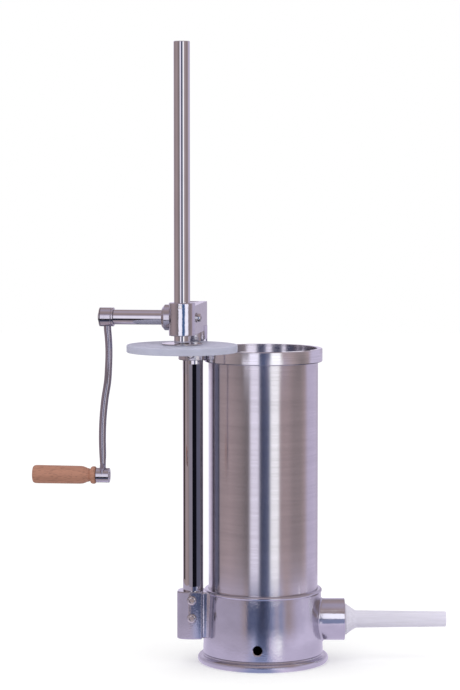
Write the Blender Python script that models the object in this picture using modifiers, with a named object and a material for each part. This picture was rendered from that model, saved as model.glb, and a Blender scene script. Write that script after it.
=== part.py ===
"""Sausage stuffer with a swing-over rack press, built as separate parts.

A cast base holds a steel cylinder and, on a lug at its side, a chromed post. A head turns on
the post and carries a toothed rod with the piston. A pinion in the head, turned by a crank,
drives the rod. The head is modelled swung towards the front, with the piston parked above
the rim. Lengths are in metres, +Z is up, and the outlet points along +X. The origin is the
centre of the object's bounding box, on the surface that the base stands on.
"""
import math

import bmesh
import bpy
from mathutils import Vector

# Fits and modelling values
GAP = 0.0003
OVERRUN = 0.006
MERGE = 0.00001
SHARP_ANGLE = math.radians(32)
LARGE_STEPS = 48
ROUND_STEPS = 28
SMALL_STEPS = 16
ROD_STEPS = 20
ARC_STEPS = 3

# Cylinder
TUBE_OUTER_R = 0.070
TUBE_WALL = 0.001
TUBE_HEIGHT = 0.3211
RIM_BAND_HEIGHT = 0.017
RIM_BAND_WALL = 0.0053
RIM_LIP = 0.0011
RIM_EDGE = 0.0012

# Base casting, from the floor up
LIP_HEIGHT = 0.010
LIP_REACH = 0.0068
GROOVE_HEIGHT = 0.003
GROOVE_DEPTH = 0.0008
FOOT_WALL = 0.0060
UNDERSIDE_HEIGHT = 0.036
FLOOR_THICKNESS = 0.005
CORNER_R = 0.006
BOWL_DEPTH = 0.038
SHELF_WIDTH = 0.004
SEAL_THICKNESS = 0.0019
SEAT_DEPTH = 0.0135
BEAD_R = 0.0025
BEAD_BULGE = 0.0006
RING_WALL = 0.005
BODY_FLARE = 0.002
FRONT_HOLE_R = 0.0057
FRONT_HOLE_CHAMFER = 0.0016
FRONT_HOLE_Z = 0.0269
FRONT_HOLE_BEARING = math.radians(-96)

# Outlet boss and nozzle
BOSS_R = 0.0268
BOSS_REACH = 0.0278
BOSS_EDGE = 0.0008
BOSS_LIP = 0.004
BOSS_LIP_WIDTH = 0.0025
BOSS_INNER_SHARE = 0.2
OUTLET_WALL = 0.0043
OUTLET_RISE = 0.013
NOZZLE_FLANGE = 0.0035
NOZZLE_WALL = 0.0018
SHOULDER_LENGTH = 0.0025
SHOULDER_EDGE = 0.0012
CONE_LENGTH = 0.0115
SPOUT_ROOT_R = 0.0111
SPOUT_TIP_R = 0.0097
SPOUT_LENGTH = 0.1165
GASKET_THICKNESS = 0.0012

# Post and its lug
POST_R = 0.013
POST_TO_RIM = 0.0024
POST_BEARING = math.radians(190)
LUG_ROUND = 0.007
LUG_FACE = 0.005
LUG_REACH = 0.0125
LUG_EDGE = 0.001
LUG_BOTTOM_Z = 0.0335
LUG_TOP_DROP = 0.0005
LUG_FLOOR = 0.0055
LUG_TURN = math.radians(-5)
RIB_HALF_WIDTH = 0.009
RIB_DROP = 0.004
LUG_SCREW_INSET = 0.0107
LUG_SCREW_SPACING = 0.0231

# Screws
LUG_SCREW_R = 0.004
LUG_HEAD_R = 0.0062
LUG_HEAD_HEIGHT = 0.0028
LUG_SCREW_BITE = 0.008
COLLAR_SCREW_R = 0.003
COLLAR_HEAD_R = 0.0052
COLLAR_HEAD_HEIGHT = 0.0024
COLLAR_SCREW_BITE = 0.006
SOCKET_SHARE = 0.42
SOCKET_DEPTH_SHARE = 0.6
DOME_SHARE = 0.72

# Stop collar and swivel
COLLAR_HEIGHT = 0.0151
COLLAR_WALL = 0.0054
COLLAR_RISE = 0.0014
COLLAR_EDGE = 0.0008
COLLAR_SCREW_BEARING = math.radians(-98.4)
COLLAR_SPOT_DEPTH = 0.0008
SADDLE_GAP = 0.0006
SWIVEL_WASHER_THICKNESS = 0.001
JOURNAL_R = 0.011
BUSH_WALL = 0.0014
POST_STUB_R = 0.006
POST_SCREW_R = 0.004
POST_SCREW_BITE = 0.014
POST_WASHER_R = 0.0095
POST_WASHER_THICKNESS = 0.0015
POST_SCREW_HEAD_R = 0.0065
POST_SCREW_HEAD_HEIGHT = 0.0047

# Piston
PISTON_CLEARANCE = 0.0004
PISTON_THICKNESS = 0.009
PISTON_EDGE = 0.001
PARK_CLEARANCE = 0.003
BOTTOM_CLEARANCE = 0.0055
PISTON_WASHER_R = 0.025
PISTON_WASHER_THICKNESS = 0.0015
PISTON_SCREW_R = 0.004
PISTON_SCREW_HEAD_R = 0.009
PISTON_SCREW_BITE = 0.016

# Rack and pinion
ROD_R = 0.010
ROD_EDGE = 0.001
ROD_SPARE = 0.0005
MODULE = 0.002
PINION_TEETH = 10
PRESSURE_ANGLE = math.radians(25)
RACK_ADDENDUM_SHARE = 0.8
DEDENDUM_SHARE = 1.2
PINION_ADDENDUM_SHARE = 0.9
BACKLASH_SHARE = 0.15
FLANK_STEPS = 2
RACK_TOP_CUT = 0.002
PINION_WIDTH = 0.016
CHAMBER_CLEARANCE = 0.0006

# Head
LIFT = 0.008
LIFT_SPARE = 0.0017
HEAD_TURN = math.radians(-97.6)
NOSE_R = 0.01625
NOSE_EDGE = 0.0008
NOSE_OVERLAP = 0.014
HEAD_HALF_WIDTH = 0.0160
HEAD_REAR = 0.0170
HEAD_EDGE = 0.001
HEAD_FLOOR = 0.0087
HEAD_ROOF = 0.0030
NOSE_STEP = 0.0040
REAR_BOSS_WALL = 0.0054
COUNTERBORE_DEPTH = 0.010
COUNTERBORE_CLEARANCE = 0.0006
WEB_THICKNESS = 0.004
GUIDE_SCREW_R = 0.0023
GUIDE_SCREW_DROP = 0.0045
GUIDE_SCREW_SUNK = 0.0005

# Crank shaft, measured outwards from the middle of the head
END_JOURNAL_R = 0.005
END_RECESS_DEPTH = 0.0006
END_WASHER_R = 0.0060
END_WASHER_THICKNESS = 0.0012
END_SCREW_R = 0.002
END_SCREW_HEAD_R = 0.0050
END_SCREW_HEAD_HEIGHT = 0.0042
END_SCREW_BITE = 0.006
SHAFT_R = 0.0092
SHAFT_LENGTH = 0.088
FLANGE_R = 0.0161
FLANGE_LENGTH = 0.0108
FLANGE_BEVEL = 0.0034
FLANGE_FACE_SHARE = 0.76
SHAFT_STUB_R = 0.006

# Crank arm and grip
CRANK_HUB_R = 0.0118
CRANK_HUB_LENGTH = 0.0162
HUB_WASHER_THICKNESS = 0.0012
HUB_SCREW_R = 0.003
HUB_SCREW_HEAD_R = 0.0058
HUB_SCREW_HEAD_HEIGHT = 0.0016
HUB_SCREW_BITE = 0.010
HUB_EDGE = 0.0006
CRANK_RADIUS = 0.1985
ARM_SWEEP = 0.0065
ARM_R = 0.0046
ARM_SHARES = (
    (0.07, 0.0, 1.0), (0.13, -0.16, 1.0), (0.21, -0.26, 0.98), (0.31, -0.18, 0.99),
    (0.395, -0.02, 1.0), (0.52, 0.57, 1.0), (0.645, 0.95, 0.98), (0.77, 1.08, 0.97),
    (0.87, 1.02, 0.93), (0.935, 1.0, 0.80),
)
ARM_SOCKET = 0.0035
GRIP_HUB_R = 0.0092
GRIP_HUB_LENGTH = 0.0167
PIN_R = 0.004
PIN_HEAD_R = 0.0065
PIN_HEAD_HEIGHT = 0.003
PIN_SLOT_WIDTH = 0.0012
PIN_SLOT_DEPTH = 0.0010
PIN_PROUD = 0.0005
GRIP_LENGTH = 0.0800
GRIP_END_R = 0.0115
GRIP_SHOULDER_R = 0.0110
GRIP_NECK_R = 0.0086
GRIP_GROOVE_R = 0.0077
GRIP_BEAD_R = 0.0110
GRIP_RECESS = 0.0045

# Radii worked out from the cylinder outwards
TUBE_INNER_R = TUBE_OUTER_R - TUBE_WALL
PISTON_R = TUBE_INNER_R - PISTON_CLEARANCE
SEAT_R = TUBE_OUTER_R + GAP
BOWL_R = TUBE_OUTER_R - SHELF_WIDTH
BASE_TOP_R = TUBE_OUTER_R + RING_WALL
BASE_LOW_R = BASE_TOP_R + BODY_FLARE
FOOT_R = BASE_LOW_R + LIP_REACH
RIM_INNER_R = TUBE_OUTER_R + GAP
RIM_OUTER_R = RIM_INNER_R + RIM_BAND_WALL
SWING_RADIUS = RIM_OUTER_R + POST_TO_RIM + POST_R
LUG_ROUND_R = POST_R + LUG_ROUND
LUG_FACE_OFFSET = POST_R + LUG_FACE
COLLAR_R = POST_R + COLLAR_WALL
BUSH_INNER_R = JOURNAL_R + GAP
BUSH_OUTER_R = BUSH_INNER_R + BUSH_WALL
HEAD_BORE_R = BUSH_OUTER_R + GAP
REAR_BOSS_R = HEAD_BORE_R + REAR_BOSS_WALL

# Heights worked out from the floor upwards
BOWL_FLOOR_Z = UNDERSIDE_HEIGHT + FLOOR_THICKNESS
SHELF_Z = BOWL_FLOOR_Z + BOWL_DEPTH
SEAL_Z = SHELF_Z + GAP
TUBE_BOTTOM_Z = SEAL_Z + SEAL_THICKNESS + GAP
BASE_TOP_Z = TUBE_BOTTOM_Z + SEAT_DEPTH
TUBE_TOP_Z = TUBE_BOTTOM_Z + TUBE_HEIGHT
RIM_TOP_Z = TUBE_TOP_Z + GAP + RIM_LIP
OUTLET_Z = BOWL_FLOOR_Z + OUTLET_RISE
BOSS_END_X = BASE_LOW_R + BOSS_REACH
OUTLET_R = BOSS_R - OUTLET_WALL
LUG_TOP_Z = BASE_TOP_Z - LUG_TOP_DROP
LUG_SCREW_TOP_Z = LUG_TOP_Z - LUG_SCREW_INSET
LUG_SCREW_LOW_Z = LUG_SCREW_TOP_Z - LUG_SCREW_SPACING
POST_BOTTOM_Z = LUG_BOTTOM_Z + LUG_FLOOR + GAP
COLLAR_TOP_Z = RIM_TOP_Z + COLLAR_RISE
COLLAR_BOTTOM_Z = COLLAR_TOP_Z - COLLAR_HEIGHT
COLLAR_SCREW_Z = COLLAR_BOTTOM_Z + COLLAR_HEIGHT / 2
SWIVEL_WASHER_Z = COLLAR_TOP_Z + GAP
REAR_BOSS_Z = SWIVEL_WASHER_Z + SWIVEL_WASHER_THICKNESS + GAP
PISTON_Z = RIM_TOP_Z + PARK_CLEARANCE
PISTON_TOP_Z = PISTON_Z + PISTON_THICKNESS
PISTON_WASHER_Z = PISTON_TOP_Z + GAP
ROD_BOTTOM_Z = PISTON_WASHER_Z + PISTON_WASHER_THICKNESS + GAP
STROKE = PISTON_Z - TUBE_BOTTOM_Z - BOTTOM_CLEARANCE
HEAD_BOTTOM_Z = PISTON_WASHER_Z + PISTON_WASHER_THICKNESS + LIFT + LIFT_SPARE

# Rack and pinion sizes, seen from the rod's axis
PITCH_R = MODULE * PINION_TEETH / 2
PITCH = math.pi * MODULE
RACK_TIP = ROD_R - RACK_TOP_CUT
RACK_PITCH_LINE = RACK_TIP - RACK_ADDENDUM_SHARE * MODULE
RACK_ROOT = RACK_PITCH_LINE - DEDENDUM_SHARE * MODULE
PINION_OFFSET = RACK_PITCH_LINE + PITCH_R
PINION_TIP_R = PITCH_R + PINION_ADDENDUM_SHARE * MODULE
PINION_ROOT_R = PITCH_R - MODULE
CHAMBER_R = PINION_TIP_R + CHAMBER_CLEARANCE
MESH_REACH = math.sqrt(PINION_TIP_R ** 2 - (PINION_OFFSET - RACK_TIP) ** 2)
RACK_GAP_HALF = PITCH / 4 + (RACK_TIP - RACK_PITCH_LINE) * math.tan(PRESSURE_ANGLE)
FLAT_REACH = math.sqrt(PINION_TIP_R ** 2 - (PINION_OFFSET - ROD_R) ** 2) + CHAMBER_CLEARANCE
GAPS_BELOW = int((LIFT + MESH_REACH + RACK_GAP_HALF) / PITCH)
GAPS_ABOVE = int((STROKE + MESH_REACH + RACK_GAP_HALF) / PITCH)

# Heights of the head
CRANK_Z = HEAD_BOTTOM_Z + HEAD_FLOOR + CHAMBER_R
HEAD_TOP_Z = CRANK_Z + CHAMBER_R + HEAD_ROOF
NOSE_TOP_Z = HEAD_TOP_Z + NOSE_STEP
WEB_TOP_Z = HEAD_TOP_Z - COUNTERBORE_DEPTH
WEB_BOTTOM_Z = WEB_TOP_Z - WEB_THICKNESS
JOURNAL_TOP_Z = WEB_BOTTOM_Z - GAP
POST_WASHER_Z = WEB_TOP_Z + GAP
POST_SCREW_HEAD_Z = POST_WASHER_Z + POST_WASHER_THICKNESS + GAP
GUIDE_SCREW_Z = NOSE_TOP_Z - GUIDE_SCREW_DROP
ROD_TOP_Z = NOSE_TOP_Z + STROKE + ROD_SPARE

# Distances along the crank shaft, outwards from the middle of the head
ROD_CLEAR = ROD_R + GAP
BUSH_START = max(ROD_CLEAR, PINION_WIDTH / 2 + GAP)
FLANGE_START = HEAD_HALF_WIDTH + GAP
FLANGE_END = FLANGE_START + FLANGE_LENGTH
CHAMBER_END = PINION_WIDTH / 2 + CHAMBER_CLEARANCE
RECESS_START = HEAD_HALF_WIDTH - END_RECESS_DEPTH
HUB_START = SHAFT_LENGTH + GAP
HUB_END = HUB_START + CRANK_HUB_LENGTH
HUB_MIDDLE = HUB_START + CRANK_HUB_LENGTH / 2
HUB_WASHER_START = HUB_END + GAP
HUB_SCREW_START = HUB_WASHER_START + HUB_WASHER_THICKNESS + GAP
GRIP_HUB_MIDDLE = HUB_MIDDLE + ARM_SWEEP
GRIP_HUB_START = GRIP_HUB_MIDDLE - GRIP_HUB_LENGTH / 2
GRIP_HUB_END = GRIP_HUB_START + GRIP_HUB_LENGTH
GRIP_START = GRIP_HUB_END + GAP

UPRIGHT = (0, 0, 0)
ORIGIN = (0, 0, 0)
QUARTER = math.pi / 2


def linear(value):
    """Turn one sRGB channel into linear light."""
    return value / 12.92 if value <= 0.04045 else ((value + 0.055) / 1.055) ** 2.4


def finish(name, colour, metallic, roughness):
    """Make a Principled material from an sRGB hex colour."""
    material = bpy.data.materials.new(name)
    material.use_nodes = True
    shader = material.node_tree.nodes["Principled BSDF"]
    channels = [linear(int(colour[at:at + 2], 16) / 255) for at in (1, 3, 5)]
    shader.inputs["Base Color"].default_value = (*channels, 1.0)
    shader.inputs["Metallic"].default_value = metallic
    shader.inputs["Roughness"].default_value = roughness
    material.diffuse_color = (*channels, 1.0)
    return material


def link(obj, parent, location, rotation, material):
    """Put an object in its collection, under its parent and at its place."""
    home = bpy.data.collections["cutters" if material is None else "sausage_stuffer"]
    home.objects.link(obj)
    obj.parent = parent
    obj.location = location
    obj.rotation_euler = rotation
    if material is None:
        obj.hide_render = True
        obj.display_type = 'WIRE'
    else:
        obj.data.materials.append(material)
    return obj


def pivot(name, parent, location, rotation=UPRIGHT):
    """Make an empty that carries the pieces of one moving body."""
    obj = bpy.data.objects.new(name, None)
    bpy.data.collections["sausage_stuffer"].objects.link(obj)
    obj.parent = parent
    obj.location = location
    obj.rotation_euler = rotation
    return obj


def arc(centre_r, centre_z, radius, start, end, steps=ARC_STEPS):
    """Points on an arc in the (radius, height) plane, angles in degrees from the +radius side."""
    points = []
    for step in range(steps + 1):
        angle = math.radians(start + (end - start) * step / steps)
        points.append((centre_r + radius * math.cos(angle), centre_z + radius * math.sin(angle)))
    return points


def turned(
    name, outline, parent, material=None, location=ORIGIN, rotation=UPRIGHT, steps=ROUND_STEPS, ring=False,
):
    """Turn an outline of (radius, height) points about local Z, outer side from top to bottom."""
    mesh = bpy.data.meshes.new(name)
    points = [(radius, 0, height) for radius, height in outline]
    edges = [(at, at + 1) for at in range(len(points) - 1)]
    if ring:
        edges.append((len(points) - 1, 0))
    mesh.from_pydata(points, edges, [])
    obj = link(bpy.data.objects.new(name, mesh), parent, location, rotation, material)
    screw = obj.modifiers.new("turn", 'SCREW')
    screw.steps = steps
    screw.render_steps = steps
    screw.use_merge_vertices = True
    screw.merge_threshold = MERGE
    return obj


def disc(
    name, radius, bottom, top, parent, material=None, location=ORIGIN, rotation=UPRIGHT, steps=ROUND_STEPS,
):
    """A plain cylinder on local Z between two heights."""
    shape = bmesh.new()
    bmesh.ops.create_cone(
        shape, cap_ends=True, segments=steps, radius1=radius, radius2=radius, depth=top - bottom,
    )
    bmesh.ops.translate(shape, verts=shape.verts, vec=(0, 0, (top + bottom) / 2))
    mesh = bpy.data.meshes.new(name)
    shape.to_mesh(mesh)
    shape.free()
    return link(bpy.data.objects.new(name, mesh), parent, location, rotation, material)


def block(name, low, high, parent, material=None, location=ORIGIN, rotation=UPRIGHT, bevel=0):
    """A box between two corners, with its edges bevelled where a width is given."""
    shape = bmesh.new()
    bmesh.ops.create_cube(shape, size=1)
    low = Vector(low)
    high = Vector(high)
    bmesh.ops.scale(shape, verts=shape.verts, vec=high - low)
    bmesh.ops.translate(shape, verts=shape.verts, vec=(low + high) / 2)
    mesh = bpy.data.meshes.new(name)
    shape.to_mesh(mesh)
    shape.free()
    obj = link(bpy.data.objects.new(name, mesh), parent, location, rotation, material)
    if bevel:
        rounding = obj.modifiers.new("edges", 'BEVEL')
        rounding.width = bevel
        rounding.segments = 1
    return obj


def as_mesh(curve, name, parent, material, location, rotation):
    """Replace a curve object by a welded mesh of itself."""
    home = bpy.context.scene.collection.objects
    obj = bpy.data.objects.new(name, curve)
    home.link(obj)
    bpy.context.view_layer.update()
    mesh = bpy.data.meshes.new_from_object(obj.evaluated_get(bpy.context.evaluated_depsgraph_get()))
    bpy.data.objects.remove(obj)
    shape = bmesh.new()
    shape.from_mesh(mesh)
    bmesh.ops.remove_doubles(shape, verts=shape.verts, dist=MERGE)
    shape.to_mesh(mesh)
    shape.free()
    mesh.materials.clear()
    return link(bpy.data.objects.new(name, mesh), parent, location, rotation, material)


def plate(name, outline, bottom, top, parent, material=None, location=ORIGIN, rotation=UPRIGHT):
    """Extrude a closed flat outline of (x, y) points between two heights."""
    curve = bpy.data.curves.new(name, 'CURVE')
    curve.dimensions = '2D'
    curve.fill_mode = 'BOTH'
    curve.extrude = (top - bottom) / 2
    spline = curve.splines.new('POLY')
    spline.points.add(len(outline) - 1)
    for point, (x, y) in zip(spline.points, outline):
        point.co = (x, y, 0, 1)
    spline.use_cyclic_u = True
    obj = as_mesh(curve, name, parent, material, location, rotation)
    for vertex in obj.data.vertices:
        vertex.co.z += (top + bottom) / 2
    return obj


def combine(target, tool, operation, solver):
    """Add a live Boolean of one object on another."""
    modifier = target.modifiers.new(tool.name, 'BOOLEAN')
    modifier.operation = operation
    modifier.solver = solver
    modifier.object = tool


def cut(target, *tools, solver='EXACT'):
    """Take each tool's volume out of the target."""
    for tool in tools:
        combine(target, tool, 'DIFFERENCE', solver)


def join(target, *tools, solver='EXACT'):
    """Add each tool's volume to the target."""
    for tool in tools:
        combine(target, tool, 'UNION', solver)


def facing(bearing):
    """Rotation that lays local Z level, pointing along a bearing about world Z."""
    return (0, QUARTER, bearing)


def polar(radius, bearing, height=0):
    """Point at a distance and bearing from the Z axis."""
    return (radius * math.cos(bearing), radius * math.sin(bearing), height)


def screw_body(name, shank_r, shank, head_r, head, parent, material, location, rotation, dome=DOME_SHARE):
    """A button-head screw: local Z points out of the head, and zero is the seat of the head."""
    socket_r = head_r * SOCKET_SHARE
    socket_z = head * (1 - SOCKET_DEPTH_SHARE)
    outline = [(0, socket_z), (socket_r, socket_z), (socket_r, head), (head_r * dome, head)]
    outline += [(head_r, head * dome / 2), (head_r, 0), (shank_r, 0), (shank_r, -shank), (0, -shank)]
    return turned(name, outline, parent, material, location, rotation, steps=SMALL_STEPS)


def build_base_casting(root, post, metal):
    """Foot, bowl, seat for the cylinder, outlet boss with its trough, and the lug for the post.

    Its many crossing bores leave open edges with the exact solver, so it uses the manifold one.
    """
    lip_r = LIP_HEIGHT / 2
    outline = [(0, BASE_TOP_Z)]
    outline += arc(BASE_TOP_R + BEAD_BULGE - BEAD_R, BASE_TOP_Z - BEAD_R, BEAD_R, 90, -60)
    outline += [(BASE_LOW_R, LIP_HEIGHT + GROOVE_HEIGHT)]
    outline += [(BASE_LOW_R - GROOVE_DEPTH, LIP_HEIGHT + GROOVE_HEIGHT / 2), (BASE_LOW_R, LIP_HEIGHT)]
    outline += arc(FOOT_R - lip_r, lip_r, lip_r, 90, -90, 2 * ARC_STEPS)
    outline += [(BASE_LOW_R - FOOT_WALL, 0), (BASE_LOW_R - FOOT_WALL, UNDERSIDE_HEIGHT - CORNER_R)]
    outline += [(BASE_LOW_R - FOOT_WALL - CORNER_R, UNDERSIDE_HEIGHT), (0, UNDERSIDE_HEIGHT)]
    casting = turned("base_casting", outline, root, metal, steps=LARGE_STEPS)

    boss_outline = [(0, BOSS_END_X), (BOSS_R - BOSS_EDGE, BOSS_END_X), (BOSS_R, BOSS_END_X - BOSS_EDGE)]
    boss_outline += [(BOSS_R, BASE_LOW_R * BOSS_INNER_SHARE), (0, BASE_LOW_R * BOSS_INNER_SHARE)]
    boss = turned("boss", boss_outline, root, None, (0, 0, OUTLET_Z), facing(0))

    flat_turn = math.degrees(math.acos(LUG_FACE_OFFSET / LUG_ROUND_R))
    lug_outline = arc(0, 0, LUG_ROUND_R, 90 + flat_turn, 270 - flat_turn, ARC_STEPS * 2)
    lug_outline += [(LUG_REACH - LUG_EDGE, -LUG_FACE_OFFSET), (LUG_REACH, -LUG_FACE_OFFSET + LUG_EDGE)]
    lug_outline += [(LUG_REACH, LUG_FACE_OFFSET - LUG_EDGE), (LUG_REACH - LUG_EDGE, LUG_FACE_OFFSET)]
    lug = plate("lug", lug_outline, LUG_BOTTOM_Z, LUG_TOP_Z, root, None, post, (0, 0, LUG_TURN))
    rib_length = SWING_RADIUS - BOWL_R
    rib = block(
        "lug_rib", (0, -RIB_HALF_WIDTH, LUG_BOTTOM_Z + RIB_DROP),
        (rib_length, RIB_HALF_WIDTH, LUG_TOP_Z - RIB_DROP), root, None, post, (0, 0, POST_BEARING - math.pi),
    )
    join(casting, boss, lug, rib, solver='MANIFOLD')

    bowl_outline = [(0, BASE_TOP_Z + OVERRUN), (SEAT_R, BASE_TOP_Z + OVERRUN), (SEAT_R, SHELF_Z)]
    bowl_outline += [(BOWL_R, SHELF_Z)]
    bowl_outline += arc(BOWL_R - CORNER_R, BOWL_FLOOR_Z + CORNER_R, CORNER_R, 0, -90)
    bowl_outline += [(0, BOWL_FLOOR_Z)]
    bowl = turned("bowl", bowl_outline, root, steps=LARGE_STEPS)
    trough_start = BASE_LOW_R * BOSS_INNER_SHARE + OUTLET_WALL
    trough = disc(
        "trough", OUTLET_R, trough_start, BOSS_END_X - BOSS_LIP, root, None, (0, 0, OUTLET_Z), facing(0),
    )
    mouth = disc(
        "mouth", OUTLET_R - BOSS_LIP_WIDTH, BOSS_END_X - BOSS_LIP - OVERRUN, BOSS_END_X + OVERRUN,
        root, None, (0, 0, OUTLET_Z), facing(0),
    )
    post_bore = disc(
        "lug_bore", POST_R + GAP, LUG_BOTTOM_Z + LUG_FLOOR, LUG_TOP_Z + OVERRUN, root, None, post,
    )
    hole_start = BASE_LOW_R - FOOT_WALL - OVERRUN
    hole_end = BASE_LOW_R + OVERRUN
    hole_outline = [(0, hole_end), (FRONT_HOLE_R + FRONT_HOLE_CHAMFER + OVERRUN, hole_end)]
    hole_outline += [(FRONT_HOLE_R, BASE_LOW_R - FRONT_HOLE_CHAMFER), (FRONT_HOLE_R, hole_start)]
    hole_outline += [(0, hole_start)]
    front_hole = turned(
        "front_hole", hole_outline, root, None, (0, 0, FRONT_HOLE_Z), facing(FRONT_HOLE_BEARING),
        SMALL_STEPS,
    )
    cut(casting, bowl, trough, mouth, post_bore, front_hole, solver='MANIFOLD')
    for height in (LUG_SCREW_TOP_Z, LUG_SCREW_LOW_Z):
        place = (post[0], post[1], height)
        bore = disc(
            "lug_screw_bore", LUG_SCREW_R + GAP, 0, LUG_FACE_OFFSET + OVERRUN,
            root, None, place, facing(LUG_TURN - QUARTER), SMALL_STEPS,
        )
        cut(casting, bore, solver='MANIFOLD')


def build_cylinder(root, steel, rubber):
    """The steel tube, its rim band and the seal ring that it stands on."""
    tube = [(TUBE_OUTER_R, TUBE_TOP_Z), (TUBE_OUTER_R, TUBE_BOTTOM_Z)]
    tube += [(TUBE_INNER_R, TUBE_BOTTOM_Z), (TUBE_INNER_R, TUBE_TOP_Z)]
    turned("cylinder_tube", tube, root, steel, steps=LARGE_STEPS, ring=True)
    bottom = RIM_TOP_Z - RIM_BAND_HEIGHT
    band = [(RIM_OUTER_R - RIM_EDGE, RIM_TOP_Z), (RIM_OUTER_R, RIM_TOP_Z - RIM_EDGE)]
    band += [(RIM_OUTER_R, bottom + RIM_EDGE), (RIM_OUTER_R - RIM_EDGE, bottom), (RIM_INNER_R, bottom)]
    band += [(RIM_INNER_R, TUBE_TOP_Z + GAP), (TUBE_INNER_R, TUBE_TOP_Z + GAP), (TUBE_INNER_R, RIM_TOP_Z)]
    turned("rim_band", band, root, steel, steps=LARGE_STEPS, ring=True)
    seal = [(TUBE_OUTER_R, SEAL_Z + SEAL_THICKNESS), (TUBE_OUTER_R, SEAL_Z)]
    seal += [(BOWL_R, SEAL_Z), (BOWL_R, SEAL_Z + SEAL_THICKNESS)]
    turned("cylinder_seal", seal, root, rubber, steps=LARGE_STEPS, ring=True)


def build_nozzle(root, plastic, rubber):
    """The filling nozzle, put in from inside the bowl, and the gasket at its flange."""
    place = (0, 0, OUTLET_Z)
    flange_top = BOSS_END_X - BOSS_LIP - GASKET_THICKNESS - 2 * GAP
    neck_r = OUTLET_R - BOSS_LIP_WIDTH - GAP
    shoulder = BOSS_END_X + SHOULDER_LENGTH
    cone_end = shoulder + CONE_LENGTH
    tip = cone_end + SPOUT_LENGTH
    outline = [(SPOUT_TIP_R, tip), (SPOUT_ROOT_R, cone_end), (neck_r - SHOULDER_EDGE, shoulder)]
    outline += [(neck_r, shoulder - SHOULDER_EDGE), (neck_r, flange_top), (OUTLET_R - GAP, flange_top)]
    flange_low = flange_top - NOZZLE_FLANGE
    outline += [(OUTLET_R - GAP, flange_low), (neck_r - NOZZLE_WALL, flange_low)]
    outline += [(neck_r - NOZZLE_WALL, shoulder - NOZZLE_WALL), (SPOUT_ROOT_R - NOZZLE_WALL, cone_end)]
    outline += [(SPOUT_TIP_R - NOZZLE_WALL, tip)]
    turned("nozzle", outline, root, plastic, place, facing(0), ring=True)
    low = flange_top + GAP
    gasket = [(OUTLET_R - GAP, low + GASKET_THICKNESS), (OUTLET_R - GAP, low)]
    gasket += [(neck_r + GAP, low), (neck_r + GAP, low + GASKET_THICKNESS)]
    turned("nozzle_gasket", gasket, root, rubber, place, facing(0), ring=True)


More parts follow.
